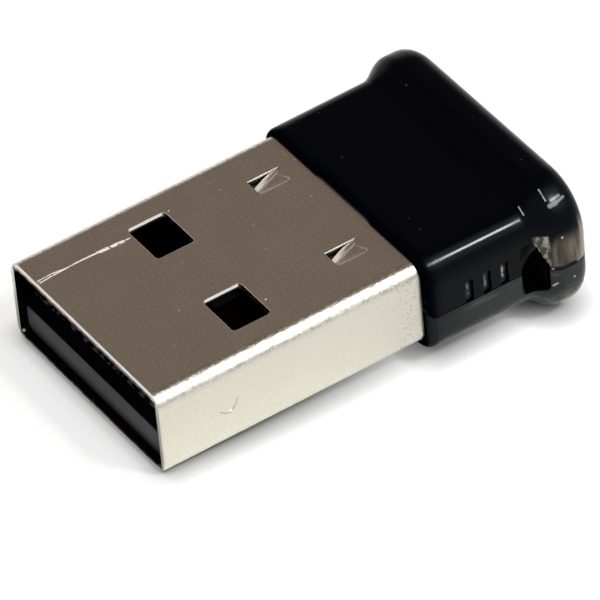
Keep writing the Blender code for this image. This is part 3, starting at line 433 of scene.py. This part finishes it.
def nickel_steel():
    """Plated sheet: brushed faces, rough bends, scratches, painted highlights and shade."""
    finish, tree, shader = new_finish("nickel_plated_steel")
    place = place_of(tree)
    x, y, z = axes_of(tree, place)
    away_x = calc(tree, "ABSOLUTE", x)
    away_z = calc(tree, "ABSOLUTE", calc(tree, "SUBTRACT", z, SHELL_TOP / 2))

    clouds = noise(tree, place, 0.45, detail=4.0)
    grain = noise(tree, place, 8.0, detail=1.0)
    rolled = noise(tree, place, 9.0, detail=2.0, stretch=(1.0, 0.08, 1.0))
    pebbles = noise(tree, place, 7.5, detail=2.0)
    reflection_blotches = noise(tree, place, 2.4, detail=4.0)

    top = ramp_between(tree, z, 4.2, 4.3)
    behind_rim = ramp_between(tree, y, 0.05, 0.10)
    flat_part = ramp_between(tree, away_x, 5.05, 4.95)
    bends = product(tree, ramp_between(tree, away_x, 5.15, 5.5),
                    ramp_between(tree, away_z, 1.4, 1.8))
    hollow_half = SHELL_HALF - HOLLOW_DEPTH
    # Painted shade on the inside of the shell, seen through the mouth
    hollow = product(tree, inside(tree, x, -hollow_half, hollow_half, 0.01),
                     inside(tree, z, HOLLOW_DEPTH, SHELL_TOP - HOLLOW_DEPTH, 0.01))
    cut_highlight, torn, creases = sheared_faces(
        tree, y, z, product(tree, top, behind_rim, flat_part))
    lip_highlights, lip_shade = mouth_rim(tree, y, z, away_x, away_z)
    cuts, nick = marks_of_use(tree, place)
    specks = product(tree, flat_part, strongest(tree, [
        flecks(tree, place, 0.95, 0.058, 0.26),
        scaled(tree, flecks(tree, place, 1.9, 0.050, 0.22), 0.35)]))
    dents = product(tree, ramp_between(tree, noise(tree, place, 8.0, detail=2.0), 0.54, 0.66),
                    ramp_between(tree, x, 5.8, 5.95), ramp_between(tree, y, 11.3, 13.2))
    mottle = product(tree, bends, ramp_between(tree, away_z, 1.72, 1.86),
                     ramp_between(tree, noise(tree, place, 5.5, detail=4.0), 0.44, 0.60))
    grained = product(tree, ramp_between(tree, grain, 0.36, 0.64),
                      spread(tree, top, 0.4, 1.0))
    # Painted shade and painted reflections on the mouth's lip
    lip = mixed(tree, ramp_between(tree, reflection_blotches, 0.40, 0.64), LIP_PAINTED_SHADE, LIP_PAINTED_REFLECTION)

    plate = layered(tree, mixed(tree, clouds, STEEL, STEEL_CLOUD),
                    (grained, STEEL_GRAIN),
                    (scaled(tree, dents, 0.70), STEEL_DENT),
                    (scaled(tree, mottle, 0.50), STEEL_MOTTLE),
                    (scaled(tree, nick, 0.60), STEEL_NICK),
                    (hollow, STEEL_HOLLOW_SHADE),
                    (torn, STEEL_CUT_SHADE),
                    (lip_shade, lip))
    # Painted highlights on the cut walls, creases, mouth rim, by the nick and at the mouth's
    # corner, with the bright scratches and specks: pale paint, not metal
    highlights_and_scratches = strongest(tree, [cut_highlight, creases, cuts, specks, lip_highlights,
                           dot(tree, place, *NICK_GLINT), dot(tree, place, *MOUTH_CORNER_GLINT)])
    metal = calc(tree, "SUBTRACT", 1.0, scaled(tree, highlights_and_scratches, 0.92))

    orange_peel = product(tree, bends, scaled(tree, pebbles, 17.0))
    relief = calc(tree, "ADD", scaled(tree, rolled, 0.25), orange_peel)
    scored = calc(tree, "SUBTRACT", relief, scaled(tree, cuts, 2.0))
    feed(tree, shader, Base_Color=mixed(tree, highlights_and_scratches, plate, STEEL_HIGHLIGHT_AND_SCRATCH), Metallic=metal,
         Roughness=spread(tree, clouds, 0.26, 0.32), Normal=bump(tree, scored, 0.0012))
    return finish


# Smoky plastic

UPPER_BLACK = colour(0.0004, 0.0008, 0.0020)
LOWER_GREY = colour(0.020, 0.023, 0.022)
LOWER_STREAK = colour(0.090, 0.086, 0.078)
LOWER_FRONT = colour(0.014, 0.017, 0.017)
LOWER_LEVEL = colour(0.0012, 0.0013, 0.0014)
# Painted highlights on the teeth in the notches
TOOTH_HIGHLIGHT_DIM = colour(0.06, 0.065, 0.06)
TOOTH_HIGHLIGHT = colour(0.46, 0.47, 0.46)
TOOTH_HIGHLIGHT_STRENGTHS = (0.30, 0.35, 0.80)
DUST = colour(0.15, 0.155, 0.165)
# Painted light through the plastic at the grip's corner, and a painted rim light
GLOW_DARK = colour(0.040, 0.035, 0.026)
GLOW_PALE = colour(0.140, 0.124, 0.096)
GLOW_RIM = colour(0.26, 0.24, 0.19)
# The torn skin's flakes: the dark ones and the pale ones, which are painted light
FLAKE_DARK = colour(0.060, 0.056, 0.048)
FLAKE_BACKLIT = colour(0.30, 0.285, 0.245)
# Painted highlight on the grip's corner
GRIP_GLINT = colour(0.33, 0.35, 0.37)
# Painted shade in the gap between the halves
PARTING_GAP_SHADE = colour(0.0006, 0.0006, 0.0006)
UPPER_GLINT = colour(0.33, 0.34, 0.34)
LOWER_GLINT = colour(0.36, 0.37, 0.36)


def smoky_plastic(name, deep):
    """Glossy moulding: its finish, tree, shader, places and dusty colour."""
    finish, tree, shader = new_finish(name)
    place = place_of(tree)
    y = axes_of(tree, place)[1]
    clouds = noise(tree, place, 0.6, detail=4.0)
    pores = noise(tree, place, 10.0, detail=2.0)
    dark = mixed(tree, clouds, deep, toned(deep, 1.6))
    dust = strongest(tree, [
        flecks(tree, place, 0.50, 0.085, 0.35),
        scaled(tree, flecks(tree, place, 1.3, 0.055, 0.30), 0.25)])
    dusty = mixed(tree, dust, dark, DUST)
    # The shine fades where the body begins and where it swells to the grip
    level_part = product(tree, ramp_between(tree, y, 14.0, 16.2),
                         ramp_between(tree, y, 19.4, 18.0))
    ends = calc(tree, "SUBTRACT", 1.0, level_part)
    even = calc(tree, "ADD", 0.10, scaled(tree, ends, 0.10))
    sheen = calc(tree, "ADD", even, spread(tree, pores, -0.03, 0.03))
    shine = scaled(tree, ramp_between(tree, y, 13.8, 14.7), 0.075)
    feed(tree, shader, Roughness=sheen, Specular_IOR_Level=shine,
         Normal=bump(tree, pores, 0.0006))
    return finish, tree, shader, place, dusty


def upper_plastic():
    """The upper half, with painted light at the grip's corner, as if light came through it.
    """
    finish, tree, shader, place, dusty = smoky_plastic("smoky_plastic_upper", UPPER_BLACK)
    x, y, z = axes_of(tree, place)
    outward = ramp_between(tree, facing(tree)[0], 0.3, 0.6)

    # Painted backlight at the grip's corner, streaked along the flow
    flow = noise(tree, place, 1.9, detail=3.0, stretch=(1.0, 1.0, 0.14))
    wavy = calc(tree, "ADD", z, spread(tree, flow, -0.5, 0.5))
    thin = product(tree, ramp_between(tree, x, 6.35, 7.0),
                   ramp_between(tree, y, 19.85, 20.2),
                   ramp_between(tree, wavy, 3.8, 3.0), outward)
    glow = mixed(tree, ramp_between(tree, flow, 0.36, 0.64), GLOW_DARK, GLOW_PALE)
    # Painted rim light along the rear edge
    rim = product(tree, inside(tree, y, 21.45, 21.72, 0.08),
                  ramp_between(tree, z, 4.2, 3.4), outward)

    # The torn skin's flakes: a real torn pattern, with painted light showing through the pale
    # ones
    torn = noise(tree, place, 4.2, detail=4.0, stretch=(1.0, 1.0, 0.45))
    skin = product(tree, inside(tree, y, 19.36, 19.93, 0.06),
                   inside(tree, z, 2.0, 3.66, 0.06), outward)
    flakes = mixed(tree, ramp_between(tree, torn, 0.44, 0.58), FLAKE_DARK, FLAKE_BACKLIT)

    # Painted highlight strokes on the grip's corner
    grip_glints = strongest(tree, [scratch(tree, place, *stroke) for stroke in GRIP_GLINT_STROKES])
    # Painted shade in the gap above the parting line
    gap_shade = product(tree, inside(tree, y, 20.02, 21.12, 0.06),
                    ramp_between(tree, z, 1.99, 1.90), outward)
    shown = layered(tree, dusty,
                    (thin, glow),
                    (scaled(tree, rim, 0.7), GLOW_RIM),
                    (skin, flakes),
                    (scaled(tree, grip_glints, 0.60), GRIP_GLINT),
                    (gap_shade, PARTING_GAP_SHADE),
                    (glints(tree, place, UPPER_LINES, UPPER_SPOTS), UPPER_GLINT))
    feed(tree, shader, Base_Color=shown)
    return finish


def lower_plastic():
    """The lower half: greyer, streaked along the flow, with painted highlights on its teeth.
    """
    finish, tree, shader, place, dusty = smoky_plastic("smoky_plastic_lower", LOWER_GREY)
    x, y, z = axes_of(tree, place)
    flow = noise(tree, place, 3.0, detail=4.0, stretch=(1.0, 0.12, 1.0))
    streaks = scaled(tree, ramp_between(tree, flow, 0.5, 0.68), 0.6)
    outer = calc(tree, "ABSOLUTE", facing(tree)[0])

    # Painted highlights on the teeth, in patches
    tooth_mottle = noise(tree, place, 7.0, detail=3.0, stretch=(1.0, 1.0, 0.5))
    teeth = strongest(tree, [
        product(tree, inside(tree, y, middle - 0.02, middle + 0.09, 0.03), strength)
        for middle, strength in zip(NOTCHES, TOOTH_HIGHLIGHT_STRENGTHS)])
    teeth = product(tree, teeth, inside(tree, z, 1.95, 2.60, 0.08),
                    ramp_between(tree, x, 6.0, 6.1))
    pale = mixed(tree, ramp_between(tree, tooth_mottle, 0.38, 0.60), TOOTH_HIGHLIGHT_DIM, TOOTH_HIGHLIGHT)
    shown = layered(tree, dusty,
                    (streaks, LOWER_STREAK),
                    (ramp_between(tree, y, 17.0, 14.4), LOWER_FRONT),
                    (ramp_between(tree, outer, 0.55, 0.35), LOWER_LEVEL),
                    (teeth, pale),
                    (glints(tree, place, LOWER_LINES, LOWER_SPOTS), LOWER_GLINT))
    feed(tree, shader, Base_Color=shown)
    return finish


# The parts inside

NYLON_BLACK = colour(0.0006, 0.0007, 0.0012)
NYLON_FIBRE = colour(0.003, 0.003, 0.004)
# Painted reflections along the tongue's front edge
NYLON_EDGE_REFLECTION = colour(0.12, 0.105, 0.115)
NYLON_PALE_PATCH = colour(0.080, 0.074, 0.068)
NYLON_POCKET = colour(0.055, 0.050, 0.044)
# Painted reflection on the tongue's nose
NYLON_NOSE_REFLECTION = colour(0.070, 0.074, 0.082)
NYLON_NOSE_REFLECTION_PALE = colour(0.100, 0.102, 0.104)

MASK_GREEN = colour(0.012, 0.12, 0.045)
TRACK_GREEN = colour(0.03, 0.22, 0.09)
LAMINATE_DARK = colour(0.35, 0.30, 0.13)
LAMINATE_PALE = colour(0.50, 0.44, 0.22)
BOARD_CORE = (0.80, 1.50)

EPOXY_DARK = colour(0.012, 0.012, 0.013)
EPOXY_PALE = colour(0.035, 0.035, 0.038)
PACKAGE_FOOT = 1.55
PAD_TIN = colour(0.72, 0.71, 0.69)
CAP_TIN_DARK = colour(0.66, 0.65, 0.63)
CAP_TIN_PALE = colour(0.80, 0.79, 0.76)

TAN_CERAMIC = (colour(0.42, 0.28, 0.15), colour(0.55, 0.39, 0.23))
DARK_CERAMIC = (colour(0.02, 0.02, 0.022), colour(0.06, 0.06, 0.062))
WHITE_CERAMIC = (colour(0.62, 0.66, 0.64), colour(0.80, 0.82, 0.80))


def black_moulding():
    """Glass-filled nylon, with a painted grey reflection on the tongue's nose and painted
    reflections along its front edge.
    """
    finish, tree, shader = new_finish("black_nylon_block")
    place = place_of(tree)
    x, y, z = axes_of(tree, place)
    fibres = noise(tree, place, 10.0, detail=5.0, stretch=(1.0, 0.3, 1.0))
    clouds = noise(tree, place, 1.2, detail=3.0)
    reflection_blotches = noise(tree, place, 2.2, detail=4.0)
    nose = product(tree, ramp_between(tree, y, 0.60, 0.50),
                   ramp_between(tree, z, 1.66, 1.58), ramp_between(tree, z, 0.20, 0.95))
    # Painted reflections in patches along the tongue's front edge
    front_edge_reflections = product(tree, ramp_between(tree, reflection_blotches, 0.46, 0.60),
                         inside(tree, y, 0.88, 1.12, 0.04), ramp_between(tree, z, 2.18, 2.22))
    # A paler patch on the tongue's top
    patched = product(tree, inside(tree, x, -0.25, 0.30, 0.05), inside(tree, y, 6.6, 7.8, 0.15),
                   inside(tree, z, 2.2, 2.3, 0.02))
    # Painted reflection on the tongue's nose
    nose_reflection = mixed(tree, clouds, NYLON_NOSE_REFLECTION, NYLON_NOSE_REFLECTION_PALE)
    shown = layered(tree, mixed(tree, fibres, NYLON_BLACK, NYLON_FIBRE),
                    (front_edge_reflections, NYLON_EDGE_REFLECTION),
                    (patched, NYLON_PALE_PATCH),
                    (ramp_between(tree, y, 10.6, 10.8), NYLON_POCKET),
                    (nose, nose_reflection))
    feed(tree, shader, Base_Color=shown, Specular_IOR_Level=scaled(tree, nose, 0.12),
         Roughness=spread(tree, fibres, 0.35, 0.6), Normal=bump(tree, fibres, 0.004))
    return finish


def plated(name, pale, deep, rough):
    """A soft plated or soldered metal with small clouds in its shine."""
    finish, tree, shader = new_finish(name, Metallic=1.0)
    place = place_of(tree)
    clouds = noise(tree, place, 2.5, detail=4.0)
    grain = noise(tree, place, 30.0, detail=2.0)
    feed(tree, shader, Base_Color=mixed(tree, clouds, pale, deep),
         Roughness=spread(tree, clouds, rough * 0.8, rough * 1.3),
         Normal=bump(tree, grain, 0.0015))
    return finish


def board_laminate():
    """Green solder mask with the shade of tracks, and a tan laminate edge."""
    finish, tree, shader = new_finish("green_board")
    place = place_of(tree)
    z = axes_of(tree, place)[2]
    tracks = node(tree, "ShaderNodeTexBrick",
                  {"Vector": place, "Scale": 1.0, "Mortar Size": 0.06,
                   "Mortar Smooth": 0.3, "Brick Width": 1.3, "Row Height": 0.45,
                   "Color1": grey(0), "Color2": grey(0),
                   "Mortar": grey(1)}).outputs["Color"]
    weave = noise(tree, place, 6.0, detail=3.0, stretch=(1.0, 1.0, 4.0))
    upright = calc(tree, "ABSOLUTE", facing(tree)[2])
    side = product(tree, inside(tree, z, *BOARD_CORE, 0.02),
                   ramp_between(tree, upright, 0.7, 0.3))
    shown = mixed(tree, side, mixed(tree, tracks, MASK_GREEN, TRACK_GREEN),
                  mixed(tree, weave, LAMINATE_DARK, LAMINATE_PALE))
    feed(tree, shader, Base_Color=shown, Roughness=spread(tree, weave, 0.25, 0.45),
         Normal=bump(tree, weave, 0.002))
    return finish


def chip_package(name, pad_height):
    """Black epoxy over tinned pads."""
    finish, tree, shader = new_finish(name)
    place = place_of(tree)
    z = axes_of(tree, place)[2]
    grit = noise(tree, place, 14.0, detail=4.0)
    epoxy = mixed(tree, grit, EPOXY_DARK, EPOXY_PALE)
    pad_top = PACKAGE_FOOT + pad_height
    pad = ramp_between(tree, z, pad_top + 0.02, pad_top - 0.02)
    feed(tree, shader, Base_Color=mixed(tree, pad, epoxy, PAD_TIN), Metallic=pad,
         Roughness=spread(tree, grit, 0.45, 0.7), Normal=bump(tree, grit, 0.003))
    return finish


def end_capped(name, node_name, body, cap_share):
    """A two-ended part: a ceramic body between tinned ends."""
    low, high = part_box(node_name)
    size = high - low
    axis = 0 if size.x > size.y else 1
    middle = ((low + high) / 2 - PLUG_ORIGIN) / MM
    half = size[axis] / MM / 2
    finish, tree, shader = new_finish(name)
    place = place_of(tree)
    along = axes_of(tree, place)[axis]
    away = calc(tree, "ABSOLUTE", calc(tree, "SUBTRACT", along, middle[axis]))
    edge = half * (1 - cap_share)
    cap = ramp_between(tree, away, edge - 0.015, edge + 0.015)
    grit = noise(tree, place, 16.0, detail=3.0)
    shown = mixed(tree, cap, mixed(tree, grit, *body),
                  mixed(tree, grit, CAP_TIN_DARK, CAP_TIN_PALE))
    feed(tree, shader, Base_Color=shown, Metallic=cap,
         Roughness=spread(tree, grit, 0.3, 0.5), Normal=bump(tree, grit, 0.002))
    return finish


def lidded(name, split, lid, lid_metal, tray):
    """A part whose upper half differs from its tray: a can or a lens."""
    finish, tree, shader = new_finish(name)
    place = place_of(tree)
    z = axes_of(tree, place)[2]
    grit = noise(tree, place, 12.0, detail=3.0)
    upper = ramp_between(tree, z, split - 0.01, split + 0.01)
    patched = mixed(tree, grit, lid, toned(lid, 0.85))
    feed(tree, shader, Base_Color=mixed(tree, upper, tray, patched),
         Metallic=scaled(tree, upper, lid_metal),
         Roughness=spread(tree, grit, 0.2, 0.4), Normal=bump(tree, grit, 0.001))
    return finish


# Pieces

def merged_solid(node_name):
    """A bmesh of a solid with its loose triangles joined into whole faces."""
    work = bmesh.new()
    work.from_mesh(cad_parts[node_name].data)
    bmesh.ops.remove_doubles(work, verts=work.verts, dist=MERGE_DISTANCE * MM)
    bmesh.ops.dissolve_limit(work, angle_limit=math.radians(FLAT_ANGLE),
                             verts=work.verts, edges=work.edges)
    return work


def ease(work, chosen, width):
    """Rounds the chosen edges a little."""
    bmesh.ops.bevel(work, geom=chosen, offset=width * MM, offset_type="OFFSET",
                    segments=EASE_SEGMENTS, profile=0.5, affect="EDGES", material=-1,
                    clamp_overlap=True, loop_slide=True)


def within(edge, low, high):
    """Whether both ends of an edge lie in a box of the plug's frame."""
    for vert in edge.verts:
        spot = (vert.co - PLUG_ORIGIN) / MM
        if not all(a <= c <= b for a, c, b in zip(low, spot, high)):
            return False
    return True


def sharp(edge, degrees=35.0):
    """Whether the faces at an edge turn by more than so many degrees."""
    return edge.is_manifold and abs(edge.calc_face_angle_signed(0.0)) > math.radians(degrees)


def make_piece(name, work, finish, node_name, smooth_below):
    """A finished piece that stands for a solid, smooth but for its sharp edges."""
    for face in work.faces:
        face.smooth = True
    for edge in work.edges:
        edge.smooth = not sharp(edge, smooth_below)
    mesh = bpy.data.meshes.new(name)
    work.to_mesh(mesh)
    work.free()
    held = mesh.attributes.get("custom_normal")
    if held:
        mesh.attributes.remove(held)
    mesh.materials.clear()
    mesh.materials.append(finish)
    piece = bpy.data.objects.new(name, mesh)
    bpy.context.scene.collection.objects.link(piece)
    even = piece.modifiers.new("even_shading", "WEIGHTED_NORMAL")
    even.keep_sharp = True
    even.weight = 50
    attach(piece, "root")
    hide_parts(node_name)
    return piece


def make_shell():
    """The plug shell, with the edges of its windows rolled over."""
    work = merged_solid("plug_shell")
    windows = []
    for side in (-1, 1):
        near, far = sorted((side * WINDOW_X[0], side * WINDOW_X[1]))
        for level in (0.0, SHELL_TOP):
            low = (near - WINDOW_REACH, WINDOW_Y[0] - WINDOW_REACH, level - LEVEL_REACH)
            high = (far + WINDOW_REACH, WINDOW_Y[1] + WINDOW_REACH, level + LEVEL_REACH)
            windows += [e for e in work.edges if sharp(e) and within(e, low, high)]
    ease(work, windows, WINDOW_ROLLOVER)
    return make_piece("dressed_plug_shell", work, nickel_steel(),
                      "plug_shell", SHELL_SHARP)


def add_torn_skin(work):
    """A thin closed shell along the flare, ragged below."""
    rows = []
    for y, out, low in TORN_SKIN:
        rows.append([work.verts.new(at(out - depth, y, z))
                     for depth in TORN_SKIN_DEPTHS for z in (TORN_SKIN_TOP, low)])
    made = []
    for one, other in zip(rows, rows[1:]):
        for a, b in ((0, 1), (1, 3), (3, 2), (2, 0)):
            made.append(work.faces.new((one[a], one[b], other[b], other[a])))
    for row in (rows[0], rows[-1]):
        made.append(work.faces.new((row[0], row[1], row[3], row[2])))
    bmesh.ops.recalc_face_normals(work, faces=made)


def at_parting(edge, low, high):
    """Whether an edge is the outer one of a cover at the parting line."""
    if not (sharp(edge) and within(edge, low, high)):
        return False
    upright = [face for face in edge.link_faces if abs(face.normal.z) < 0.3]
    middle = (edge.verts[0].co + edge.verts[1].co) / 2
    outside = middle - at(0.0, HOUSING_MIDDLE, 0.0)
    if len(upright) != 1 or upright[0].normal.dot(outside) <= 0:
        return False
    return abs(outside.x) > PARTING_HALF[0] * MM or abs(outside.y) > PARTING_HALF[1] * MM


def make_cover(side, finish, edge_height):
    """A half of the housing, with its outer edge at the parting eased."""
    work = merged_solid(side + "_cover")
    low = (HOUSING_X[0], HOUSING_Y[0], edge_height - LEVEL_REACH)
    high = (HOUSING_X[1], HOUSING_Y[1], edge_height + LEVEL_REACH)
    ease(work, [e for e in work.edges if at_parting(e, low, high)], PARTING_EASE)
    if side == "upper":
        add_torn_skin(work)
    return make_piece("dressed_" + side + "_cover", work, finish,
                      side + "_cover", HOUSING_SHARP)


def paint(node_name, finish):
    """Gives a solid that stays its finish."""
    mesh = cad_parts[node_name].data
    mesh.materials.clear()
    mesh.materials.append(finish)


def paint_inner_pieces():
    """Gives every piece inside the shell and the housing its finish."""
    paint("contact_block", black_moulding())
    gold = plated("gold_plating", colour(0.93, 0.68, 0.30), colour(0.86, 0.58, 0.22), 0.22)
    tin = plated("bright_solder", colour(0.78, 0.78, 0.77), colour(0.62, 0.62, 0.62), 0.30)
    for job in ("supply", "data_minus", "data_plus", "ground"):
        paint("contact_" + job, gold)
        paint("solder_" + job, tin)
    paint("circuit_board", board_laminate())
    paint("radio_chip", chip_package("radio_chip_epoxy", 0.05))
    paint("memory_chip", chip_package("memory_chip_epoxy", 0.05))
    paint("voltage_regulator", chip_package("regulator_epoxy", 0.15))
    paint("crystal", lidded("crystal_can", 1.85, colour(0.70, 0.69, 0.66), 1.0,
                            colour(0.05, 0.045, 0.04)))
    paint("status_lamp", lidded("lamp_lens", 1.80, colour(0.55, 0.75, 0.85), 0.0,
                                colour(0.80, 0.80, 0.76)))
    for part in ("capacitor_1", "capacitor_2", "capacitor_3", "capacitor_4"):
        paint(part, end_capped(part + "_ceramic", part, TAN_CERAMIC, 0.45))
    for part in ("resistor_1", "resistor_2"):
        paint(part, end_capped(part + "_glaze", part, DARK_CERAMIC, 0.35))
    paint("inductor", end_capped("inductor_ferrite", "inductor", DARK_CERAMIC, 0.35))
    paint("chip_antenna", end_capped("antenna_ceramic", "chip_antenna", WHITE_CERAMIC, 0.2))


# Stage

CARD_BROWN = colour(0.178, 0.131, 0.113)
WHITE = grey(1.0)


def sweep_paper():
    """White paper, lifted for the camera but for a painted contact shadow along the adapter,
    and clear from below.
    """
    finish = bpy.data.materials.new("white_sweep")
    finish.use_nodes = True
    tree = finish.node_tree
    tree.nodes.clear()
    seen = node(tree, "ShaderNodeLightPath").outputs["Is Camera Ray"]
    tone = mixed(tree, seen, grey(FLOOR_TONE), grey(FLOOR_TONE_SEEN))
    paper = node(tree, "ShaderNodeBsdfDiffuse", {"Color": tone})
    open_sky = node(tree, "ShaderNodeAmbientOcclusion", {"Distance": CONTACT_SHADOW_REACH * MM},
                    samples=CONTACT_SHADOW_SAMPLES).outputs["AO"]
    # Painted contact shadow: the camera's lift drops where the adapter shuts the floor in
    painted_shadow = calc(tree, "SUBTRACT", 1.0, open_sky)
    lift = calc(tree, "SUBTRACT", FLOOR_LIFT, scaled(tree, painted_shadow, FLOOR_CONTACT_SHADOW),
                clamp=True)
    glow = node(tree, "ShaderNodeEmission",
                {"Color": WHITE, "Strength": product(tree, seen, lift)})
    both = node(tree, "ShaderNodeAddShader", {0: paper.outputs[0], 1: glow.outputs[0]})
    clear = node(tree, "ShaderNodeBsdfTransparent")
    under = node(tree, "ShaderNodeNewGeometry").outputs["Backfacing"]
    shown = node(tree, "ShaderNodeMixShader",
                 {0: under, 1: both.outputs[0], 2: clear.outputs[0]})
    node(tree, "ShaderNodeOutputMaterial", {"Surface": shown.outputs[0]})
    return finish


def make_floor():
    """A white sweep under the two edges on which the adapter rests."""
    work = bmesh.new()
    bmesh.ops.create_circle(work, cap_ends=True, segments=FLOOR_SEGMENTS,
                            radius=FLOOR_RADIUS * MM)
    mouth = PLUG_ORIGIN + REST_AT_MOUTH * MM
    grip = PLUG_ORIGIN + REST_AT_GRIP * MM
    slope = math.atan2(grip.z - mouth.z, grip.y - mouth.y)
    bmesh.ops.rotate(work, verts=work.verts, matrix=Matrix.Rotation(slope, 3, "X"))
    bmesh.ops.translate(work, verts=work.verts, vec=(mouth + grip) / 2)
    mesh = bpy.data.meshes.new("sweep")
    work.to_mesh(mesh)
    work.free()
    mesh.materials.append(sweep_paper())
    floor = bpy.data.objects.new("sweep", mesh)
    bpy.context.scene.collection.objects.link(floor)


def round_about(tree, ray, direction, limits):
    """1 round a direction of the room, within limits in degrees."""
    turn = node(tree, "ShaderNodeVectorMath", {0: ray, 1: direction.normalized()},
                operation="DOT_PRODUCT").outputs["Value"]
    outer, inner = (math.cos(math.radians(limit)) for limit in limits)
    return ramp_between(tree, turn, outer, inner)


def make_room():
    """An even pale room, with one brown card high on the left behind."""
    room = bpy.data.worlds.new("studio")
    bpy.context.scene.world = room
    room.use_nodes = True
    tree = room.node_tree
    tree.nodes.clear()
    ray = node(tree, "ShaderNodeTexCoord").outputs["Generated"]
    height = axes_of(tree, ray)[2]
    card = product(tree, round_about(tree, ray, CARD_DIRECTION, CARD_SPREAD),
                   ramp_between(tree, height, *CARD_FOOT))
    heart = round_about(tree, ray, LAMP_DIRECTION, LAMP_HEART_SPREAD)
    skirt = round_about(tree, ray, LAMP_DIRECTION, LAMP_SKIRT_SPREAD)
    wall = mixed(tree, card, grey(WALL_TONE), CARD_BROWN)
    around = node(tree, "ShaderNodeBackground", {"Color": wall, "Strength": 1.0})
    glow = calc(tree, "ADD", scaled(tree, heart, LAMP_HEART), scaled(tree, skirt, LAMP_SKIRT))
    lamp = node(tree, "ShaderNodeBackground", {"Color": WHITE, "Strength": glow})
    room_light = node(tree, "ShaderNodeAddShader",
                      {0: around.outputs[0], 1: lamp.outputs[0]})
    white = node(tree, "ShaderNodeBackground", {"Color": WHITE, "Strength": 1.0})
    seen = node(tree, "ShaderNodeLightPath").outputs["Is Camera Ray"]
    both = node(tree, "ShaderNodeMixShader",
                {0: seen, 1: room_light.outputs[0], 2: white.outputs[0]})
    node(tree, "ShaderNodeOutputWorld", {"Surface": both.outputs[0]})


def add_camera():
    """The camera, at the photograph's place and angle."""
    camera = bpy.data.cameras.new("camera")
    camera.lens = CAMERA_LENS
    camera.sensor_width = CAMERA_SENSOR
    camera.clip_start = CAMERA_NEAR
    camera.clip_end = CAMERA_FAR
    holder = bpy.data.objects.new("camera", camera)
    bpy.context.scene.collection.objects.link(holder)
    turn = Matrix((CAMERA_RIGHT, CAMERA_UP, CAMERA_BACK)).transposed().to_4x4()
    holder.matrix_world = Matrix.Translation(CAMERA_PLACE) @ turn
    bpy.context.scene.camera = holder


make_shell()
make_cover("upper", upper_plastic(), UPPER_EDGE)
make_cover("lower", lower_plastic(), LOWER_EDGE)
paint_inner_pieces()
make_floor()
make_room()
add_camera()
bpy.context.scene.view_settings.view_transform = "Standard"
